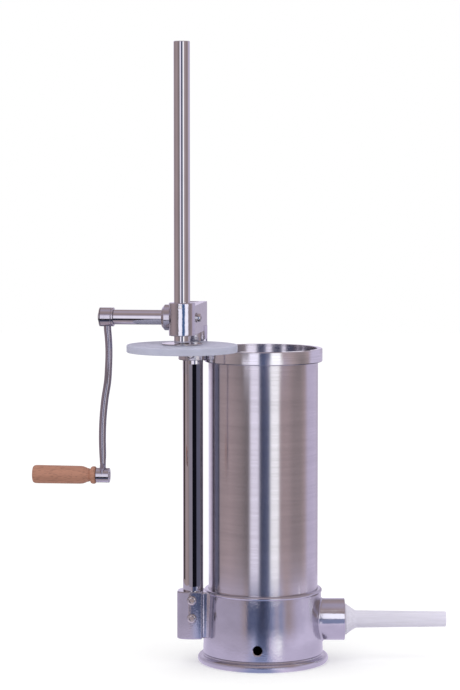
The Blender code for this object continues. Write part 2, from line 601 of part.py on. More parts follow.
def build_post(root, post, chrome, metal, steel):
    """The post with its journal and stub, the two lug screws, the stop collar and the top screw."""
    outline = [(0, WEB_TOP_Z), (POST_STUB_R, WEB_TOP_Z), (POST_STUB_R, JOURNAL_TOP_Z)]
    outline += [(JOURNAL_R, JOURNAL_TOP_Z), (JOURNAL_R, COLLAR_TOP_Z), (POST_R, COLLAR_TOP_Z)]
    outline += [(POST_R, POST_BOTTOM_Z), (0, POST_BOTTOM_Z)]
    rod = turned("post", outline, root, chrome, post, steps=ROUND_STEPS)
    for name, height in (("lug_screw_upper", LUG_SCREW_TOP_Z), ("lug_screw_lower", LUG_SCREW_LOW_Z)):
        place = (post[0], post[1], height)
        turn = facing(LUG_TURN - QUARTER)
        bite = LUG_SCREW_BITE + LUG_FACE
        hole = disc(
            name + "_hole", LUG_SCREW_R + GAP, POST_R - LUG_SCREW_BITE - GAP, POST_R + OVERRUN,
            root, None, place, turn, SMALL_STEPS,
        )
        cut(rod, hole)
        seat = (place[0] + (LUG_FACE_OFFSET + GAP) * math.cos(turn[2]),
                place[1] + (LUG_FACE_OFFSET + GAP) * math.sin(turn[2]), height)
        screw_body(name, LUG_SCREW_R, bite, LUG_HEAD_R, LUG_HEAD_HEIGHT, root, steel, seat, turn)

    edge = COLLAR_EDGE
    inner = POST_R + GAP
    ring = [(COLLAR_R - edge, COLLAR_TOP_Z), (COLLAR_R, COLLAR_TOP_Z - edge)]
    ring += [(COLLAR_R, COLLAR_BOTTOM_Z + edge), (COLLAR_R - edge, COLLAR_BOTTOM_Z)]
    ring += [(inner, COLLAR_BOTTOM_Z), (inner, COLLAR_TOP_Z)]
    collar = turned("stop_collar", ring, root, metal, post, ring=True)
    saddle_r = RIM_OUTER_R + SADDLE_GAP
    saddle = disc(
        "saddle", saddle_r, COLLAR_BOTTOM_Z - OVERRUN, COLLAR_TOP_Z + OVERRUN, root, steps=LARGE_STEPS,
    )
    spot_r = COLLAR_R - COLLAR_SPOT_DEPTH
    place = (post[0], post[1], COLLAR_SCREW_Z)
    turn = facing(COLLAR_SCREW_BEARING)
    spot = disc(
        "collar_spot", COLLAR_HEAD_R + GAP, spot_r, COLLAR_R + OVERRUN, root, None, place, turn, SMALL_STEPS,
    )
    bore = disc(
        "collar_bore", COLLAR_SCREW_R + GAP, 0, COLLAR_R + OVERRUN, root, None, place, turn, SMALL_STEPS,
    )
    cut(collar, saddle, spot, bore)
    hole = disc(
        "collar_screw_hole", COLLAR_SCREW_R + GAP, POST_R - COLLAR_SCREW_BITE - GAP, POST_R + OVERRUN,
        root, None, place, turn, SMALL_STEPS,
    )
    cut(rod, hole)
    offset = polar(spot_r + GAP, COLLAR_SCREW_BEARING)
    seat = (post[0] + offset[0], post[1] + offset[1], COLLAR_SCREW_Z)
    bite = COLLAR_SCREW_BITE + spot_r - POST_R
    screw_body(
        "collar_screw", COLLAR_SCREW_R, bite, COLLAR_HEAD_R, COLLAR_HEAD_HEIGHT, root, steel, seat, turn,
    )

    low = SWIVEL_WASHER_Z
    high = low + SWIVEL_WASHER_THICKNESS
    washer = [(COLLAR_R - edge, high), (COLLAR_R - edge, low), (JOURNAL_R + GAP, low)]
    washer += [(JOURNAL_R + GAP, high)]
    swivel = turned("swivel_washer", washer, root, steel, post, ring=True)
    cut(swivel, saddle)

    low = POST_WASHER_Z
    high = low + POST_WASHER_THICKNESS
    washer = [(POST_WASHER_R, high), (POST_WASHER_R, low), (POST_SCREW_R + GAP, low)]
    washer += [(POST_SCREW_R + GAP, high)]
    turned("post_top_washer", washer, root, steel, post, steps=SMALL_STEPS, ring=True)
    hole = disc(
        "post_top_hole", POST_SCREW_R + GAP, WEB_TOP_Z - POST_SCREW_BITE - GAP, WEB_TOP_Z + OVERRUN,
        root, None, post, steps=SMALL_STEPS,
    )
    cut(rod, hole)
    bite = POST_SCREW_BITE + POST_SCREW_HEAD_Z - WEB_TOP_Z
    seat = (post[0], post[1], POST_SCREW_HEAD_Z)
    screw_body(
        "post_top_screw", POST_SCREW_R, bite, POST_SCREW_HEAD_R, POST_SCREW_HEAD_HEIGHT, root, steel, seat,
        UPRIGHT, dome=1,
    )


def build_head(head, metal, bronze, steel):
    """The swinging head: block, rod nose and rear boss, with its bushes and guide screw.

    Its bores cross each other too, so it is cut with the manifold solver.
    """
    body = block(
        "head_block", (-HEAD_REAR, -HEAD_HALF_WIDTH, HEAD_BOTTOM_Z),
        (SWING_RADIUS - NOSE_R + NOSE_OVERLAP, HEAD_HALF_WIDTH, HEAD_TOP_Z), head, metal, bevel=HEAD_EDGE,
    )
    rod_place = (SWING_RADIUS, 0, 0)
    low = HEAD_BOTTOM_Z - GAP
    nose_outline = [(0, NOSE_TOP_Z), (NOSE_R - NOSE_EDGE, NOSE_TOP_Z), (NOSE_R, NOSE_TOP_Z - NOSE_EDGE)]
    nose_outline += [(NOSE_R, low + NOSE_EDGE), (NOSE_R - NOSE_EDGE, low), (0, low)]
    nose = turned("nose", nose_outline, head, None, rod_place)
    rear = disc("rear_boss", REAR_BOSS_R, REAR_BOSS_Z, HEAD_BOTTOM_Z + HEAD_FLOOR, head)
    join(body, nose, rear, solver='MANIFOLD')
    rod_bore = disc("rod_bore", ROD_R + GAP, low - OVERRUN, NOSE_TOP_Z + OVERRUN, head, None, rod_place)
    post_bore = disc("head_bore", HEAD_BORE_R, REAR_BOSS_Z - OVERRUN, WEB_BOTTOM_Z, head)
    stub_bore = disc("stub_bore", POST_STUB_R + GAP, WEB_BOTTOM_Z - OVERRUN, WEB_TOP_Z + OVERRUN, head)
    counterbore = disc(
        "counterbore", POST_WASHER_R + COUNTERBORE_CLEARANCE, WEB_TOP_Z, HEAD_TOP_Z + OVERRUN, head,
    )
    crank_place = (SWING_RADIUS - PINION_OFFSET, 0, CRANK_Z)
    outwards = facing(-QUARTER)
    chamber = disc(
        "chamber", CHAMBER_R, -CHAMBER_END, HEAD_HALF_WIDTH + OVERRUN, head, None, crank_place, outwards,
    )
    journal_bore = disc(
        "journal_bore", END_JOURNAL_R + GAP, -HEAD_HALF_WIDTH - OVERRUN, -CHAMBER_END + OVERRUN,
        head, None, crank_place, outwards, SMALL_STEPS,
    )
    recess = disc(
        "end_recess", END_WASHER_R + GAP, -HEAD_HALF_WIDTH - OVERRUN, -RECESS_START,
        head, None, crank_place, outwards, SMALL_STEPS,
    )
    guide_place = (SWING_RADIUS, 0, GUIDE_SCREW_Z)
    guide_bore = disc(
        "guide_bore", GUIDE_SCREW_R + GAP, 0, NOSE_R + OVERRUN, head, None, guide_place, facing(0),
        SMALL_STEPS,
    )
    tools = (rod_bore, post_bore, stub_bore, counterbore, chamber, journal_bore, recess, guide_bore)
    cut(body, *tools, solver='MANIFOLD')

    sleeve = [(BUSH_OUTER_R, JOURNAL_TOP_Z), (BUSH_OUTER_R, REAR_BOSS_Z + GAP)]
    sleeve += [(BUSH_INNER_R, REAR_BOSS_Z + GAP), (BUSH_INNER_R, JOURNAL_TOP_Z)]
    turned("swivel_bush", sleeve, head, bronze, ring=True)

    face_r = FLANGE_R * FLANGE_FACE_SHARE
    bore_r = SHAFT_R + GAP
    bush = [(face_r, FLANGE_END), (FLANGE_R, FLANGE_END - FLANGE_BEVEL), (FLANGE_R, FLANGE_START)]
    bush += [(CHAMBER_R - GAP, FLANGE_START), (CHAMBER_R - GAP, BUSH_START)]
    bush += [(bore_r, BUSH_START), (bore_r, FLANGE_END)]
    turned("shaft_bush", bush, head, metal, crank_place, outwards, ring=True)

    outer = NOSE_R - GUIDE_SCREW_SUNK
    inner = ROD_R + 2 * GAP
    socket_r = GUIDE_SCREW_R * SOCKET_SHARE
    socket_z = outer - (outer - inner) * SOCKET_SHARE
    grub = [(0, socket_z), (socket_r, socket_z), (socket_r, outer), (GUIDE_SCREW_R, outer)]
    grub += [(GUIDE_SCREW_R, inner), (0, inner)]
    turned("rod_guide_screw", grub, head, steel, guide_place, facing(0), SMALL_STEPS)


def involute(radius, base_r):
    """Involute function of the pressure angle at a radius."""
    angle = math.acos(min(1, base_r / radius))
    return math.tan(angle) - angle


def pinion_outline():
    """Points round the pinion in its own plane, with one tooth centred on the +Y side."""
    base_r = PITCH_R * math.cos(PRESSURE_ANGLE)
    half_tooth = (PITCH / 2 - BACKLASH_SHARE * MODULE) / (2 * PITCH_R)
    flank = []
    for step in range(FLANK_STEPS + 1):
        radius = base_r + (PINION_TIP_R - base_r) * step / FLANK_STEPS
        turn = half_tooth + involute(PITCH_R, base_r) - involute(radius, base_r)
        flank.append((radius, turn))
    flank.insert(0, (PINION_ROOT_R, flank[0][1]))
    points = []
    for tooth in range(PINION_TEETH):
        middle = QUARTER + 2 * math.pi * tooth / PINION_TEETH
        points += [polar(radius, middle - turn)[:2] for radius, turn in flank]
        points += [polar(radius, middle + turn)[:2] for radius, turn in reversed(flank)]
    return points


def build_shaft(crank, steel, chrome):
    """Pinion and crank shaft in one piece, and the washer and screw at its inner end."""
    half = PINION_WIDTH / 2
    shaft = plate("pinion_shaft", pinion_outline(), -half, half, crank, chrome)
    bar = [(0, HUB_END - GAP), (SHAFT_STUB_R, HUB_END - GAP), (SHAFT_STUB_R, SHAFT_LENGTH)]
    bar += [(SHAFT_R, SHAFT_LENGTH), (SHAFT_R, BUSH_START)]
    bar += [(PINION_ROOT_R - GAP, BUSH_START), (PINION_ROOT_R - GAP, -half - GAP)]
    bar += [(END_JOURNAL_R, -half - GAP), (END_JOURNAL_R, -RECESS_START), (0, -RECESS_START)]
    join(shaft, turned("shaft_bar", bar, crank))
    inner_hole = disc(
        "end_screw_hole", END_SCREW_R + GAP, -RECESS_START - OVERRUN, -RECESS_START + END_SCREW_BITE + GAP,
        crank, steps=SMALL_STEPS,
    )
    outer_hole = disc(
        "hub_screw_hole", HUB_SCREW_R + GAP, HUB_END - HUB_SCREW_BITE - GAP, HUB_END + OVERRUN, crank,
        steps=SMALL_STEPS,
    )
    cut(shaft, inner_hole, outer_hole)

    face = RECESS_START + GAP
    back = (math.pi, 0, 0)
    washer = [(END_WASHER_R, face + END_WASHER_THICKNESS), (END_WASHER_R, face)]
    washer += [(END_SCREW_R + GAP, face), (END_SCREW_R + GAP, face + END_WASHER_THICKNESS)]
    turned("shaft_end_washer", washer, crank, steel, ORIGIN, back, SMALL_STEPS, ring=True)
    seat = face + END_WASHER_THICKNESS + GAP
    bite = END_SCREW_BITE + seat - RECESS_START
    screw_body(
        "shaft_end_screw", END_SCREW_R, bite, END_SCREW_HEAD_R, END_SCREW_HEAD_HEIGHT, crank, chrome,
        (0, 0, -seat), back,
    )


def build_crank(crank, metal, chrome, steel):
    """Upper hub with its washer and screw, the swept arm, the lower hub and the grip's pin."""
    bore_r = SHAFT_STUB_R + GAP
    ring = [(CRANK_HUB_R - HUB_EDGE, HUB_END), (CRANK_HUB_R, HUB_END - HUB_EDGE)]
    ring += [(CRANK_HUB_R, HUB_START + HUB_EDGE), (CRANK_HUB_R - HUB_EDGE, HUB_START)]
    ring += [(bore_r, HUB_START), (bore_r, HUB_END)]
    hub = turned("crank_hub", ring, crank, metal, ring=True)
    down = (0, QUARTER, 0)
    root_r = ARM_R * ARM_SHARES[0][2]
    end_r = ARM_R * ARM_SHARES[-1][2]
    socket = disc(
        "arm_socket", root_r + GAP, CRANK_HUB_R - ARM_SOCKET, CRANK_HUB_R + OVERRUN,
        crank, None, (0, 0, HUB_MIDDLE), down, SMALL_STEPS,
    )
    cut(hub, socket)

    washer_end = HUB_WASHER_START + HUB_WASHER_THICKNESS
    washer = [(CRANK_HUB_R, washer_end), (CRANK_HUB_R, HUB_WASHER_START)]
    washer += [(HUB_SCREW_R + GAP, HUB_WASHER_START), (HUB_SCREW_R + GAP, washer_end)]
    turned("hub_washer", washer, crank, steel, ring=True)
    bite = HUB_SCREW_BITE + HUB_SCREW_START - HUB_END
    screw_body(
        "hub_screw", HUB_SCREW_R, bite, HUB_SCREW_HEAD_R, HUB_SCREW_HEAD_HEIGHT, crank, chrome,
        (0, 0, HUB_SCREW_START), UPRIGHT,
    )

    top = CRANK_HUB_R - ARM_SOCKET + GAP
    bottom = CRANK_RADIUS - GRIP_HUB_R + ARM_SOCKET - GAP
    stations = [(top, 0, 1)]
    stations += [(CRANK_RADIUS * share, ARM_SWEEP * sweep, width) for share, sweep, width in ARM_SHARES]
    stations += [(bottom, ARM_SWEEP, end_r / ARM_R)]
    curve = bpy.data.curves.new("crank_arm", 'CURVE')
    curve.dimensions = '3D'
    curve.bevel_depth = ARM_R
    curve.bevel_resolution = 4
    curve.use_fill_caps = True
    curve.resolution_u = 3
    spline = curve.splines.new('BEZIER')
    spline.bezier_points.add(len(stations) - 1)
    for point, (below, sweep, width) in zip(spline.bezier_points, stations):
        point.co = (below, 0, HUB_MIDDLE + sweep)
        point.radius = width
        point.handle_left_type = 'AUTO'
        point.handle_right_type = 'AUTO'
    as_mesh(curve, "crank_arm", crank, chrome, ORIGIN, UPRIGHT)

    pin_bore = PIN_R + GAP
    ring = [(GRIP_HUB_R - HUB_EDGE, GRIP_HUB_END), (GRIP_HUB_R, GRIP_HUB_END - HUB_EDGE)]
    ring += [(GRIP_HUB_R, GRIP_HUB_START + HUB_EDGE), (GRIP_HUB_R - HUB_EDGE, GRIP_HUB_START)]
    ring += [(pin_bore, GRIP_HUB_START), (pin_bore, GRIP_HUB_END)]
    grip_place = (CRANK_RADIUS, 0, 0)
    grip_hub = turned("grip_hub", ring, crank, metal, grip_place, ring=True)
    socket_end = CRANK_RADIUS - GRIP_HUB_R
    socket = disc(
        "grip_socket", end_r + GAP, socket_end - OVERRUN, socket_end + ARM_SOCKET,
        crank, None, (0, 0, GRIP_HUB_MIDDLE), down, SMALL_STEPS,
    )
    cut(grip_hub, socket)

    head_z = GRIP_START + GRIP_LENGTH - GRIP_RECESS + GAP
    pin_end = GRIP_HUB_START - PIN_PROUD
    pin_outline = [(0, head_z + PIN_HEAD_HEIGHT), (PIN_HEAD_R, head_z + PIN_HEAD_HEIGHT)]
    pin_outline += [(PIN_HEAD_R, head_z), (PIN_R, head_z), (PIN_R, pin_end), (0, pin_end)]
    pin = turned("grip_pin", pin_outline, crank, steel, grip_place, steps=SMALL_STEPS)
    slot = block(
        "pin_slot", (-PIN_R - OVERRUN, -PIN_SLOT_WIDTH / 2, pin_end - OVERRUN),
        (PIN_R + OVERRUN, PIN_SLOT_WIDTH / 2, pin_end + PIN_SLOT_DEPTH), crank, None, grip_place,
    )
    cut(pin, slot)


def build_grip(grip, wood):
    """The turned wooden grip, from its outer end down to the bead beside the hub."""
    bore_r = PIN_R + GAP
    recess_r = PIN_HEAD_R + GAP
    shares = (
        (GRIP_END_R, 0.88, 1.0), (GRIP_END_R, 0.97, 0.985), (GRIP_END_R, 1.0, 0.93),
        (GRIP_SHOULDER_R, 1.0, 0.25), (GRIP_SHOULDER_R, 0.98, 0.21), (GRIP_SHOULDER_R, 0.90, 0.172),
        (GRIP_NECK_R, 1.0, 0.135), (GRIP_NECK_R, 0.98, 0.118), (GRIP_GROOVE_R, 1.0, 0.108),
        (GRIP_GROOVE_R, 1.0, 0.096), (GRIP_BEAD_R, 0.91, 0.078), (GRIP_BEAD_R, 1.0, 0.050),
        (GRIP_BEAD_R, 1.0, 0.022), (GRIP_BEAD_R, 0.89, 0),
    )
    outline = [(radius * wide, GRIP_LENGTH * along) for radius, wide, along in shares]
    outline += [(bore_r, 0), (bore_r, GRIP_LENGTH - GRIP_RECESS), (recess_r, GRIP_LENGTH - GRIP_RECESS)]
    outline += [(recess_r, GRIP_LENGTH)]
    turned("wooden_grip", outline, grip, wood, ring=True)


def build_rod(rod, chrome, plastic, steel):
    """The toothed rod and the piston with its washer and screw."""
    outline = [(0, ROD_TOP_Z), (ROD_R - ROD_EDGE, ROD_TOP_Z), (ROD_R, ROD_TOP_Z - ROD_EDGE)]
    outline += [(ROD_R, ROD_BOTTOM_Z), (0, ROD_BOTTOM_Z)]
    rack = turned("rack_rod", outline, rod, chrome, steps=ROD_STEPS)
    flat_low = CRANK_Z - LIFT - FLAT_REACH
    flat_high = CRANK_Z + STROKE + FLAT_REACH
    far = -ROD_R - OVERRUN
    flat = block("rack_flat", (far, far, flat_low), (-RACK_TIP, -far, flat_high), rod)
    slope = math.tan(PRESSURE_ANGLE)
    root_half = PITCH / 4 - (RACK_PITCH_LINE - RACK_ROOT) * slope
    far_half = PITCH / 4 + (-far - RACK_PITCH_LINE) * slope
    gap_outline = [(-RACK_ROOT, -root_half), (-RACK_ROOT, root_half), (far, far_half), (far, -far_half)]
    first = CRANK_Z - GAPS_BELOW * PITCH
    gaps = plate("rack_gaps", gap_outline, far, -far, rod, None, (0, 0, first), (QUARTER, 0, 0))
    row = gaps.modifiers.new("row", 'ARRAY')
    row.count = GAPS_BELOW + GAPS_ABOVE + 1
    row.use_relative_offset = False
    row.use_constant_offset = True
    row.constant_offset_displace = (0, PITCH, 0)
    hole_top = ROD_BOTTOM_Z + PISTON_SCREW_BITE + GAP
    hole = disc(
        "piston_screw_hole", PISTON_SCREW_R + GAP, ROD_BOTTOM_Z - OVERRUN, hole_top, rod, steps=SMALL_STEPS,
    )
    cut(rack, flat, gaps, hole)

    head_r = PISTON_SCREW_HEAD_R
    shank_r = PISTON_SCREW_R
    sink = head_r - shank_r
    edge = PISTON_EDGE
    ring = [(PISTON_R - edge, PISTON_TOP_Z), (PISTON_R, PISTON_TOP_Z - edge), (PISTON_R, PISTON_Z + edge)]
    ring += [(PISTON_R - edge, PISTON_Z), (head_r + GAP, PISTON_Z), (shank_r + GAP, PISTON_Z + sink)]
    ring += [(shank_r + GAP, PISTON_TOP_Z)]
    turned("piston_disc", ring, rod, plastic, steps=LARGE_STEPS, ring=True)
    high = PISTON_WASHER_Z + PISTON_WASHER_THICKNESS
    washer = [(PISTON_WASHER_R, high), (PISTON_WASHER_R, PISTON_WASHER_Z), (shank_r + GAP, PISTON_WASHER_Z)]
    washer += [(shank_r + GAP, high)]
    turned("piston_washer", washer, rod, steel, ring=True)
    tip = ROD_BOTTOM_Z + PISTON_SCREW_BITE
    screw = [(0, tip), (shank_r, tip), (shank_r, PISTON_Z + sink), (head_r, PISTON_Z), (0, PISTON_Z)]
    turned("piston_screw", screw, rod, steel, steps=SMALL_STEPS)


def settle(parts):
    """Apply every part's modifiers, then shade round faces smooth and keep the edges sharp."""
    graph = bpy.context.evaluated_depsgraph_get()
    meshes = {part: bpy.data.meshes.new_from_object(part.evaluated_get(graph)) for part in parts}
    for part, mesh in meshes.items():
        part.modifiers.clear()
        part.data = mesh
        mesh.name = part.name
        mesh.shade_smooth()
        mesh.set_sharp_from_angle(angle=SHARP_ANGLE)


def centre(root, parts):
    """Move the root so that the middle of the bounding box stands over the origin."""
    corners = [part.matrix_world @ vertex.co for part in parts for vertex in part.data.vertices]
    for axis in (0, 1):
        places = [corner[axis] for corner in corners]
        root.location[axis] = -(min(places) + max(places)) / 2


def main():
    for obj in list(bpy.data.objects):
        bpy.data.objects.remove(obj)
    for name in ("sausage_stuffer", "cutters"):
        bpy.context.scene.collection.children.link(bpy.data.collections.new(name))
    cast = finish("cast_aluminium", "#B7B4BC", 1.0, 0.30)
    brushed = finish("brushed_steel", "#B0A9A8", 1.0, 0.28)
    chrome = finish("chrome", "#C9CBD2", 1.0, 0.08)
    steel = finish("bright_steel", "#A9A8AC", 1.0, 0.25)
    bronze = finish("bronze", "#A8814E", 1.0, 0.35)
    plastic = finish("white_plastic", "#D3D7E6", 0.0, 0.40)
    clear = finish("milky_plastic", "#E2E2EF", 0.0, 0.35)
    rubber = finish("rubber", "#2A2A2C", 0.0, 0.60)
    wood = finish("beech", "#C98A55", 0.0, 0.50)

    root = pivot("stuffer_root", None, ORIGIN)
    post = polar(SWING_RADIUS, POST_BEARING)
    head = pivot("head_pivot", root, post, (0, 0, HEAD_TURN))
    rod = pivot("rod_slide", head, (SWING_RADIUS, 0, 0))
    crank = pivot("crank_pivot", head, (SWING_RADIUS - PINION_OFFSET, 0, CRANK_Z), facing(-QUARTER))
    grip = pivot("grip_pivot", crank, (CRANK_RADIUS, 0, GRIP_START))

    build_base_casting(root, post, cast)
    build_cylinder(root, brushed, rubber)
    build_nozzle(root, clear, rubber)
    build_post(root, post, chrome, cast, steel)
    build_head(head, cast, bronze, steel)
    build_shaft(crank, steel, chrome)
    build_crank(crank, cast, chrome, steel)
    build_grip(grip, wood)
    build_rod(rod, chrome, plastic, steel)

    bpy.context.view_layer.update()
    parts = [obj for obj in bpy.data.collections["sausage_stuffer"].objects if obj.type == 'MESH']
    settle(parts)
    centre(root, parts)


main()
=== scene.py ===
"""Looks of a hand-cranked sausage stuffer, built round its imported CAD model.

The CAD nodes are the fixed frame. Each visible piece is worked out again here as a finer surface
from the same sizes, rides on the body that carries its node, and gets a material named for what the
real one is made of. Lengths are in metres and +Z is up.
"""
import math

import bmesh
import bpy
import numpy as np
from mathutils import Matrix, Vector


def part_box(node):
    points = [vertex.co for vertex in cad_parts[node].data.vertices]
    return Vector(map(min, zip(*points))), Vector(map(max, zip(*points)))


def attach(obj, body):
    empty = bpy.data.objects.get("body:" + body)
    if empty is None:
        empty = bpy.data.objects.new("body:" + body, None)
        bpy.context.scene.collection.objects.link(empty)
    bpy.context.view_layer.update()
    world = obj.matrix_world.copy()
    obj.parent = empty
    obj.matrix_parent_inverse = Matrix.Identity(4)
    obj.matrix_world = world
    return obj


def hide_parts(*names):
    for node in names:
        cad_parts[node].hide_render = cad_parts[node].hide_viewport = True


bl_info = {
    "name": "Sausage Stuffer",
    "version": (1, 0, 0),
    "blender": (4, 5, 0),
    "location": "3D View > Sidebar > Stuffer",
    "description": "Builds the pieces, finishes and studio of a crank-driven sausage stuffer",
    "category": "Add Mesh",
}

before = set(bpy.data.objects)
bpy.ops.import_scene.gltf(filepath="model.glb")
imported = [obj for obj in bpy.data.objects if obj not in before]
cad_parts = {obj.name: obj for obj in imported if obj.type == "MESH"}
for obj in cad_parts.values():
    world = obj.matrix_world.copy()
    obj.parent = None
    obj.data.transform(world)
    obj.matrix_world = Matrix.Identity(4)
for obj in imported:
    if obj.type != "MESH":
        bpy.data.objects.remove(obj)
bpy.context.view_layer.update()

TAU = 2 * math.pi
COLUMNS = 96
FINE_COLUMNS = 192
EASE_STEPS = 6
MERGE = 1e-6
SHARP_ANGLE = math.radians(28)

# Frames of the moving bodies


def middle(node):
    """Middle of a CAD node's box at rest."""
    low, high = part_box(node)
    return (np.array(low) + np.array(high)) / 2


def span(node):
    """Lowest and highest Z of a CAD node at rest."""
    low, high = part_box(node)
    return low[2], high[2]


def place(origin, up, side):
    """A frame: its origin, and three unit rows for local X (side), local Y and local Z (up)."""
    up = np.array(up, float)
    side = np.array(side, float)
    return np.array(origin, float), np.array([side, np.cross(up, side), up])


def placed(points, at):
    """Carry local points into the world: origin + x X + y Y + z Z."""
    origin, axes = at
    return points @ axes + origin


def raised(at, shift):
    """The same frame with its origin moved by local distances."""
    return placed(np.array(shift, float), at), at[1]


def facing(at, bearing, height=0.0, outwards=0.0):
    """A frame whose local Z leaves another frame's axis at a bearing, from a height and a distance."""
    turn = np.array([math.cos(bearing), math.sin(bearing), 0.0])
    origin = placed(turn * outwards + np.array([0.0, 0.0, height]), at)
    up = turn @ at[1]
    return place(origin, up, -at[1][2])


UP = np.array([0.0, 0.0, 1.0])
CYLINDER_AXIS = middle("cylinder_tube") * (1, 1, 0)
POST_AXIS = middle("post") * (1, 1, 0)
ROD_AXIS = middle("piston_disc") * (1, 1, 0)
CRANK_AXIS_Z = middle("shaft_end_washer")[2]
HEAD_FORWARD = (ROD_AXIS - POST_AXIS) / np.linalg.norm(ROD_AXIS - POST_AXIS)
CRANK_OUTWARD = np.cross(HEAD_FORWARD, UP)
SWING_RADIUS = np.linalg.norm(ROD_AXIS - POST_AXIS)
BASE = place(CYLINDER_AXIS, UP, (1, 0, 0))
POST = place(POST_AXIS, UP, (1, 0, 0))
LUG_TURN = math.radians(-5)
LUG = place(POST_AXIS, UP, (math.cos(LUG_TURN), math.sin(LUG_TURN), 0))
HEAD = place(POST_AXIS, UP, HEAD_FORWARD)
ROD = place(ROD_AXIS, UP, HEAD_FORWARD)

# Shapes as whole arrays


def eased(corners, loop=False, steps=EASE_STEPS):
    """Round each corner (r, h, ease) of a profile by an arc that starts and ends ease away from it.

    With P the corner and d, e the unit directions to its neighbours, the arc is the rational quadratic
    curve from P + ease d to P + ease e with middle point P and weight sin(half of the angle between
    d and e), which is a circle arc.
    """
    corners = np.array(corners, float)
    point = corners[:, :2]
    ease = corners[:, 2:3]
    before = np.roll(point, 1, 0) - point
    after = np.roll(point, -1, 0) - point
    if not loop:
        before[0] = after[0]
        after[-1] = before[-1]
    before = before / np.linalg.norm(before, axis=1, keepdims=True)
    after = after / np.linalg.norm(after, axis=1, keepdims=True)
    weight = np.sqrt(np.clip((1 - (before * after).sum(1)) / 2, 0, 1))[:, None, None]
    t = np.linspace(0, 1, steps + 1)[None, :, None]
    first = (1 - t) ** 2
    second = 2 * t * (1 - t) * weight
    third = t ** 2
    start = (point + ease * before)[:, None]
    end = (point + ease * after)[:, None]
    path = (first * start + second * point[:, None] + third * end) / (first + second + third)
    path = path.reshape(-1, 2)
    moved = np.abs(np.diff(path, axis=0)).max(1) > MERGE
    return path[np.concatenate(([True], moved))]


def arc(r, h, radius, start, end, steps=10):
    """Points on a circle arc in the (r, h) plane, between two angles in degrees."""
    angle = np.radians(np.linspace(start, end, steps + 1))
    return np.stack([r + radius * np.cos(angle), h + radius * np.sin(angle)], -1)


def bearings(columns):
    """Evenly spaced angles round an axis."""
    return TAU * np.arange(columns) / columns


def turned(profile, at, columns=COLUMNS):
    """Turn a profile about local Z: (r, h) at angle t is the point (r cos t, r sin t, h)."""
    t = bearings(columns)
    r = profile[:, :1]
    grid = np.stack([r * np.cos(t), r * np.sin(t), profile[:, 1:2] + 0 * t], -1)
    return placed(grid, at)


def shrunk(outline, inset):
    """Move a closed outline inwards along its mitred normals by an inset."""
    edge = np.roll(outline, -1, 0) - outline
    edge = edge / np.linalg.norm(edge, axis=1, keepdims=True)
    normal = np.stack([edge[:, 1], -edge[:, 0]], -1)
    mitre = normal + np.roll(normal, 1, 0)
    mitre = mitre / (1 + (normal * np.roll(normal, 1, 0)).sum(1, keepdims=True))
    return outline - mitre * inset


def at_radius(outline, radius):
    """A circle with one point at the bearing of each point of an outline."""
    return outline / np.linalg.norm(outline, axis=1, keepdims=True) * radius


def hexagon(apothem, columns):
    """A hexagon with evenly spaced bearings: r = apothem / cos of the angle from the nearest flat."""
    t = bearings(columns)
    r = apothem / np.cos((t + TAU / 12) % (TAU / 6) - TAU / 12)
    return np.stack([r * np.cos(t), r * np.sin(t)], -1)


def stacked(loops, at):
    """Put closed outlines at their heights: a list of (outline, height) becomes the rows of a grid."""
    rows = [np.concatenate([outline, np.full((len(outline), 1), height)], 1) for outline, height in loops]
    return placed(np.array(rows), at)


def pillow(outline, bottom, top, edge, steps=EASE_STEPS):
    """Loops of an upright extrusion with quarter-circle edges: inset e(1 - sin a), rise e(1 - cos a)."""
    angles = np.linspace(0, TAU / 4, steps + 1)
    low = [(shrunk(outline, edge * (1 - math.sin(a))), bottom + edge * (1 - math.cos(a))) for a in angles]
    high = [(loop, bottom + top - height) for loop, height in reversed(low)]
    return low + high


def swept(path, radii, reference, at, columns=32):
    """Carry a circle along a path: point + radius (side cos t + other sin t), closed at both ends.

    Side is the cross product of the path's direction with a reference, and other that of side with it.
    """
    along = np.gradient(path, axis=0)
    along = along / np.linalg.norm(along, axis=1, keepdims=True)
    side = np.cross(along, reference)
    side = side / np.linalg.norm(side, axis=1, keepdims=True)
    other = np.cross(side, along)
    t = bearings(columns)[None, :, None]
    grid = path[:, None] + radii[:, None, None] * (side[:, None] * np.cos(t) + other[:, None] * np.sin(t))
    return placed(grid, at)


def smoothed(x, knots, values):
    """Cubic Hermite curve through knots, with the slopes of their neighbours' chords."""
    slopes = np.gradient(values, knots)
    at = np.clip(np.searchsorted(knots, x, side="right") - 1, 0, len(knots) - 2)
    width = knots[at + 1] - knots[at]
    t = (x - knots[at]) / width
    held = (1 + 2 * t) * (1 - t) ** 2 * values[at] + t ** 2 * (3 - 2 * t) * values[at + 1]
    return held + width * (t * (1 - t) ** 2 * slopes[at] - t ** 2 * (1 - t) * slopes[at + 1])


def capped(grid):
    """Close both ends of a grid of rows on the middle of its first and last row."""
    first = np.broadcast_to(grid[0].mean(0), grid[0].shape)
    last = np.broadcast_to(grid[-1].mean(0), grid[-1].shape)
    return np.concatenate([first[None], grid, last[None]])


# Meshes


